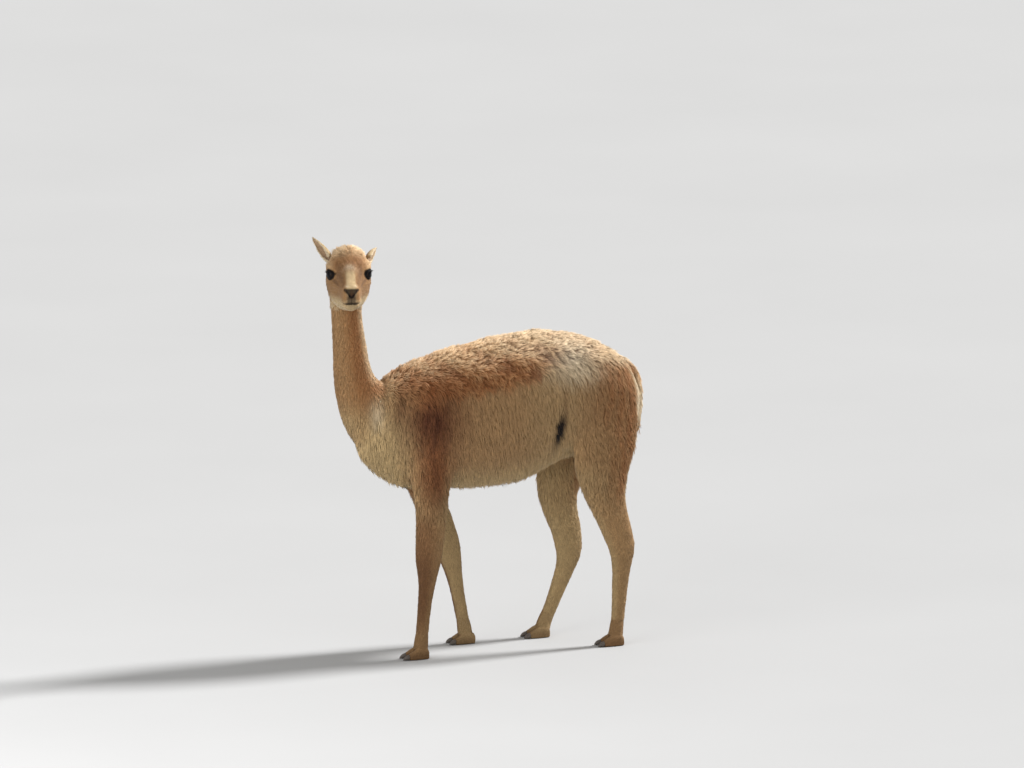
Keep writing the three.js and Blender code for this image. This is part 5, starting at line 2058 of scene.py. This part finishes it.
@dataclass
class Studio:
    """The floor, the lights and the camera at the photograph's angle, in metres and degrees."""

    azimuth: float = 70.0
    elevation: float = 11.0
    reach: float = 60.0
    across: float = -0.2592
    up: float = 0.7211
    depth: float = -0.25
    view_width: float = 2.885
    sun_way: Point = (1.1, 1.05, 0.3)
    sun_angle: float = 10.0
    sun_power: float = 5.4
    fill_way: Point = (-2.4, 0.8, -3.0)
    fill_middle: Point = (0.0, 0.0, 0.6)
    fill_size: float = 3.0
    fill_power: float = 62.0
    sky_power: float = 0.5
    floor_size: float = 60.0
    floor_greys: tuple[float, float] = (0.44, 0.47)

    def build(self) -> None:
        """Builds the studio."""
        turn, tilt = math.radians(self.azimuth), math.radians(self.elevation)
        right = Vector((math.cos(turn), math.sin(turn), 0))
        ahead = Vector((-math.sin(turn) * math.cos(tilt), math.cos(turn) * math.cos(tilt), -math.sin(tilt)))
        self.axes = (right, right.cross(ahead), ahead)
        offset = Vector(STAND.offset / MILLIMETRES)
        camera = put("camera", bpy.data.cameras.new("camera"))
        camera.location = self.way((self.across, self.up, self.depth)) + offset - ahead * self.reach
        camera.rotation_euler = ahead.to_track_quat("-Z", "Y").to_euler()
        camera.data.lens = camera.data.sensor_width * self.reach / self.view_width
        camera.data.clip_end = 200
        bpy.context.scene.camera = camera
        bpy.context.scene.view_settings.view_transform = "Standard"
        sun = self.light("key", "SUN", self.sun_way, self.sun_power)
        sun.data.angle = math.radians(self.sun_angle)
        fill = self.light("fill", "AREA", self.fill_way, self.fill_power)
        fill.data.size = self.fill_size
        fill.location = Vector(self.fill_middle) + self.way(self.fill_way)
        self.surroundings()

    def way(self, parts: Point) -> Vector:
        """What reaches this far to the view's right, above it and ahead."""
        return sum((axis * part for axis, part in zip(self.axes, parts)), Vector())

    def light(self, name: str, kind: str, parts: Point, power: float) -> bpy.types.Object:
        """Adds a light.

        Args:
            name: Its name.
            kind: Its type.
            parts: The way it comes from, to the right, above and ahead.
            power: Its strength.

        Returns:
            The light.
        """
        light = put(name, bpy.data.lights.new(name, kind))
        light.data.energy = power
        light.rotation_euler = (-self.way(parts)).to_track_quat("-Z", "Y").to_euler()
        return light

    def surroundings(self) -> None:
        """Lays the floor and lights the world."""
        deselect()
        bpy.ops.mesh.primitive_plane_add(size=self.floor_size)
        floor = bpy.context.object
        floor.name = "floor"
        shader = Shader("floor", MATT)
        dark, light = ((level, level, level, 1.0) for level in self.floor_greys)
        shader.link("Base Color", shader.mixed(shader.noise(shader.where(), 1.2, 2.0), dark, light))
        floor.data.materials.append(shader.material)
        world = bpy.context.scene.world or bpy.data.worlds.new("world")
        bpy.context.scene.world = world
        world.use_nodes = True
        sky = world.node_tree.nodes["Background"]
        sky.inputs["Color"].default_value = (1.0, 0.99, 0.97, 1)
        sky.inputs["Strength"].default_value = self.sky_power


def main() -> None:
    """Builds the studio, the skin, the eyes, the nails and the coat in turn."""
    logging.basicConfig(level=logging.INFO, format="%(name)s: %(message)s")
    Studio().build()
    LOG.info("studio")
    skin = Skin()
    skin.build()
    skin.piece.data.materials.clear()
    wet, horn = eye_material(), horn_material()
    pieces = [(skin.piece, skin_material())]
    pieces += [(eye.build(), wet) for eye in EYES]
    pieces += [(nail, horn) for leg in LEGS for nail in Foot(leg).nails()]
    for piece, material in pieces:
        piece.data.materials.append(material)
        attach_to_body(piece, BODY)
        LOG.info("%s %d", piece.name, len(piece.data.polygons))
    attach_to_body(Lashes().build(lash_material()), BODY)
    Coat(skin).build(coat_material())


if __name__ == "__main__":
    main()
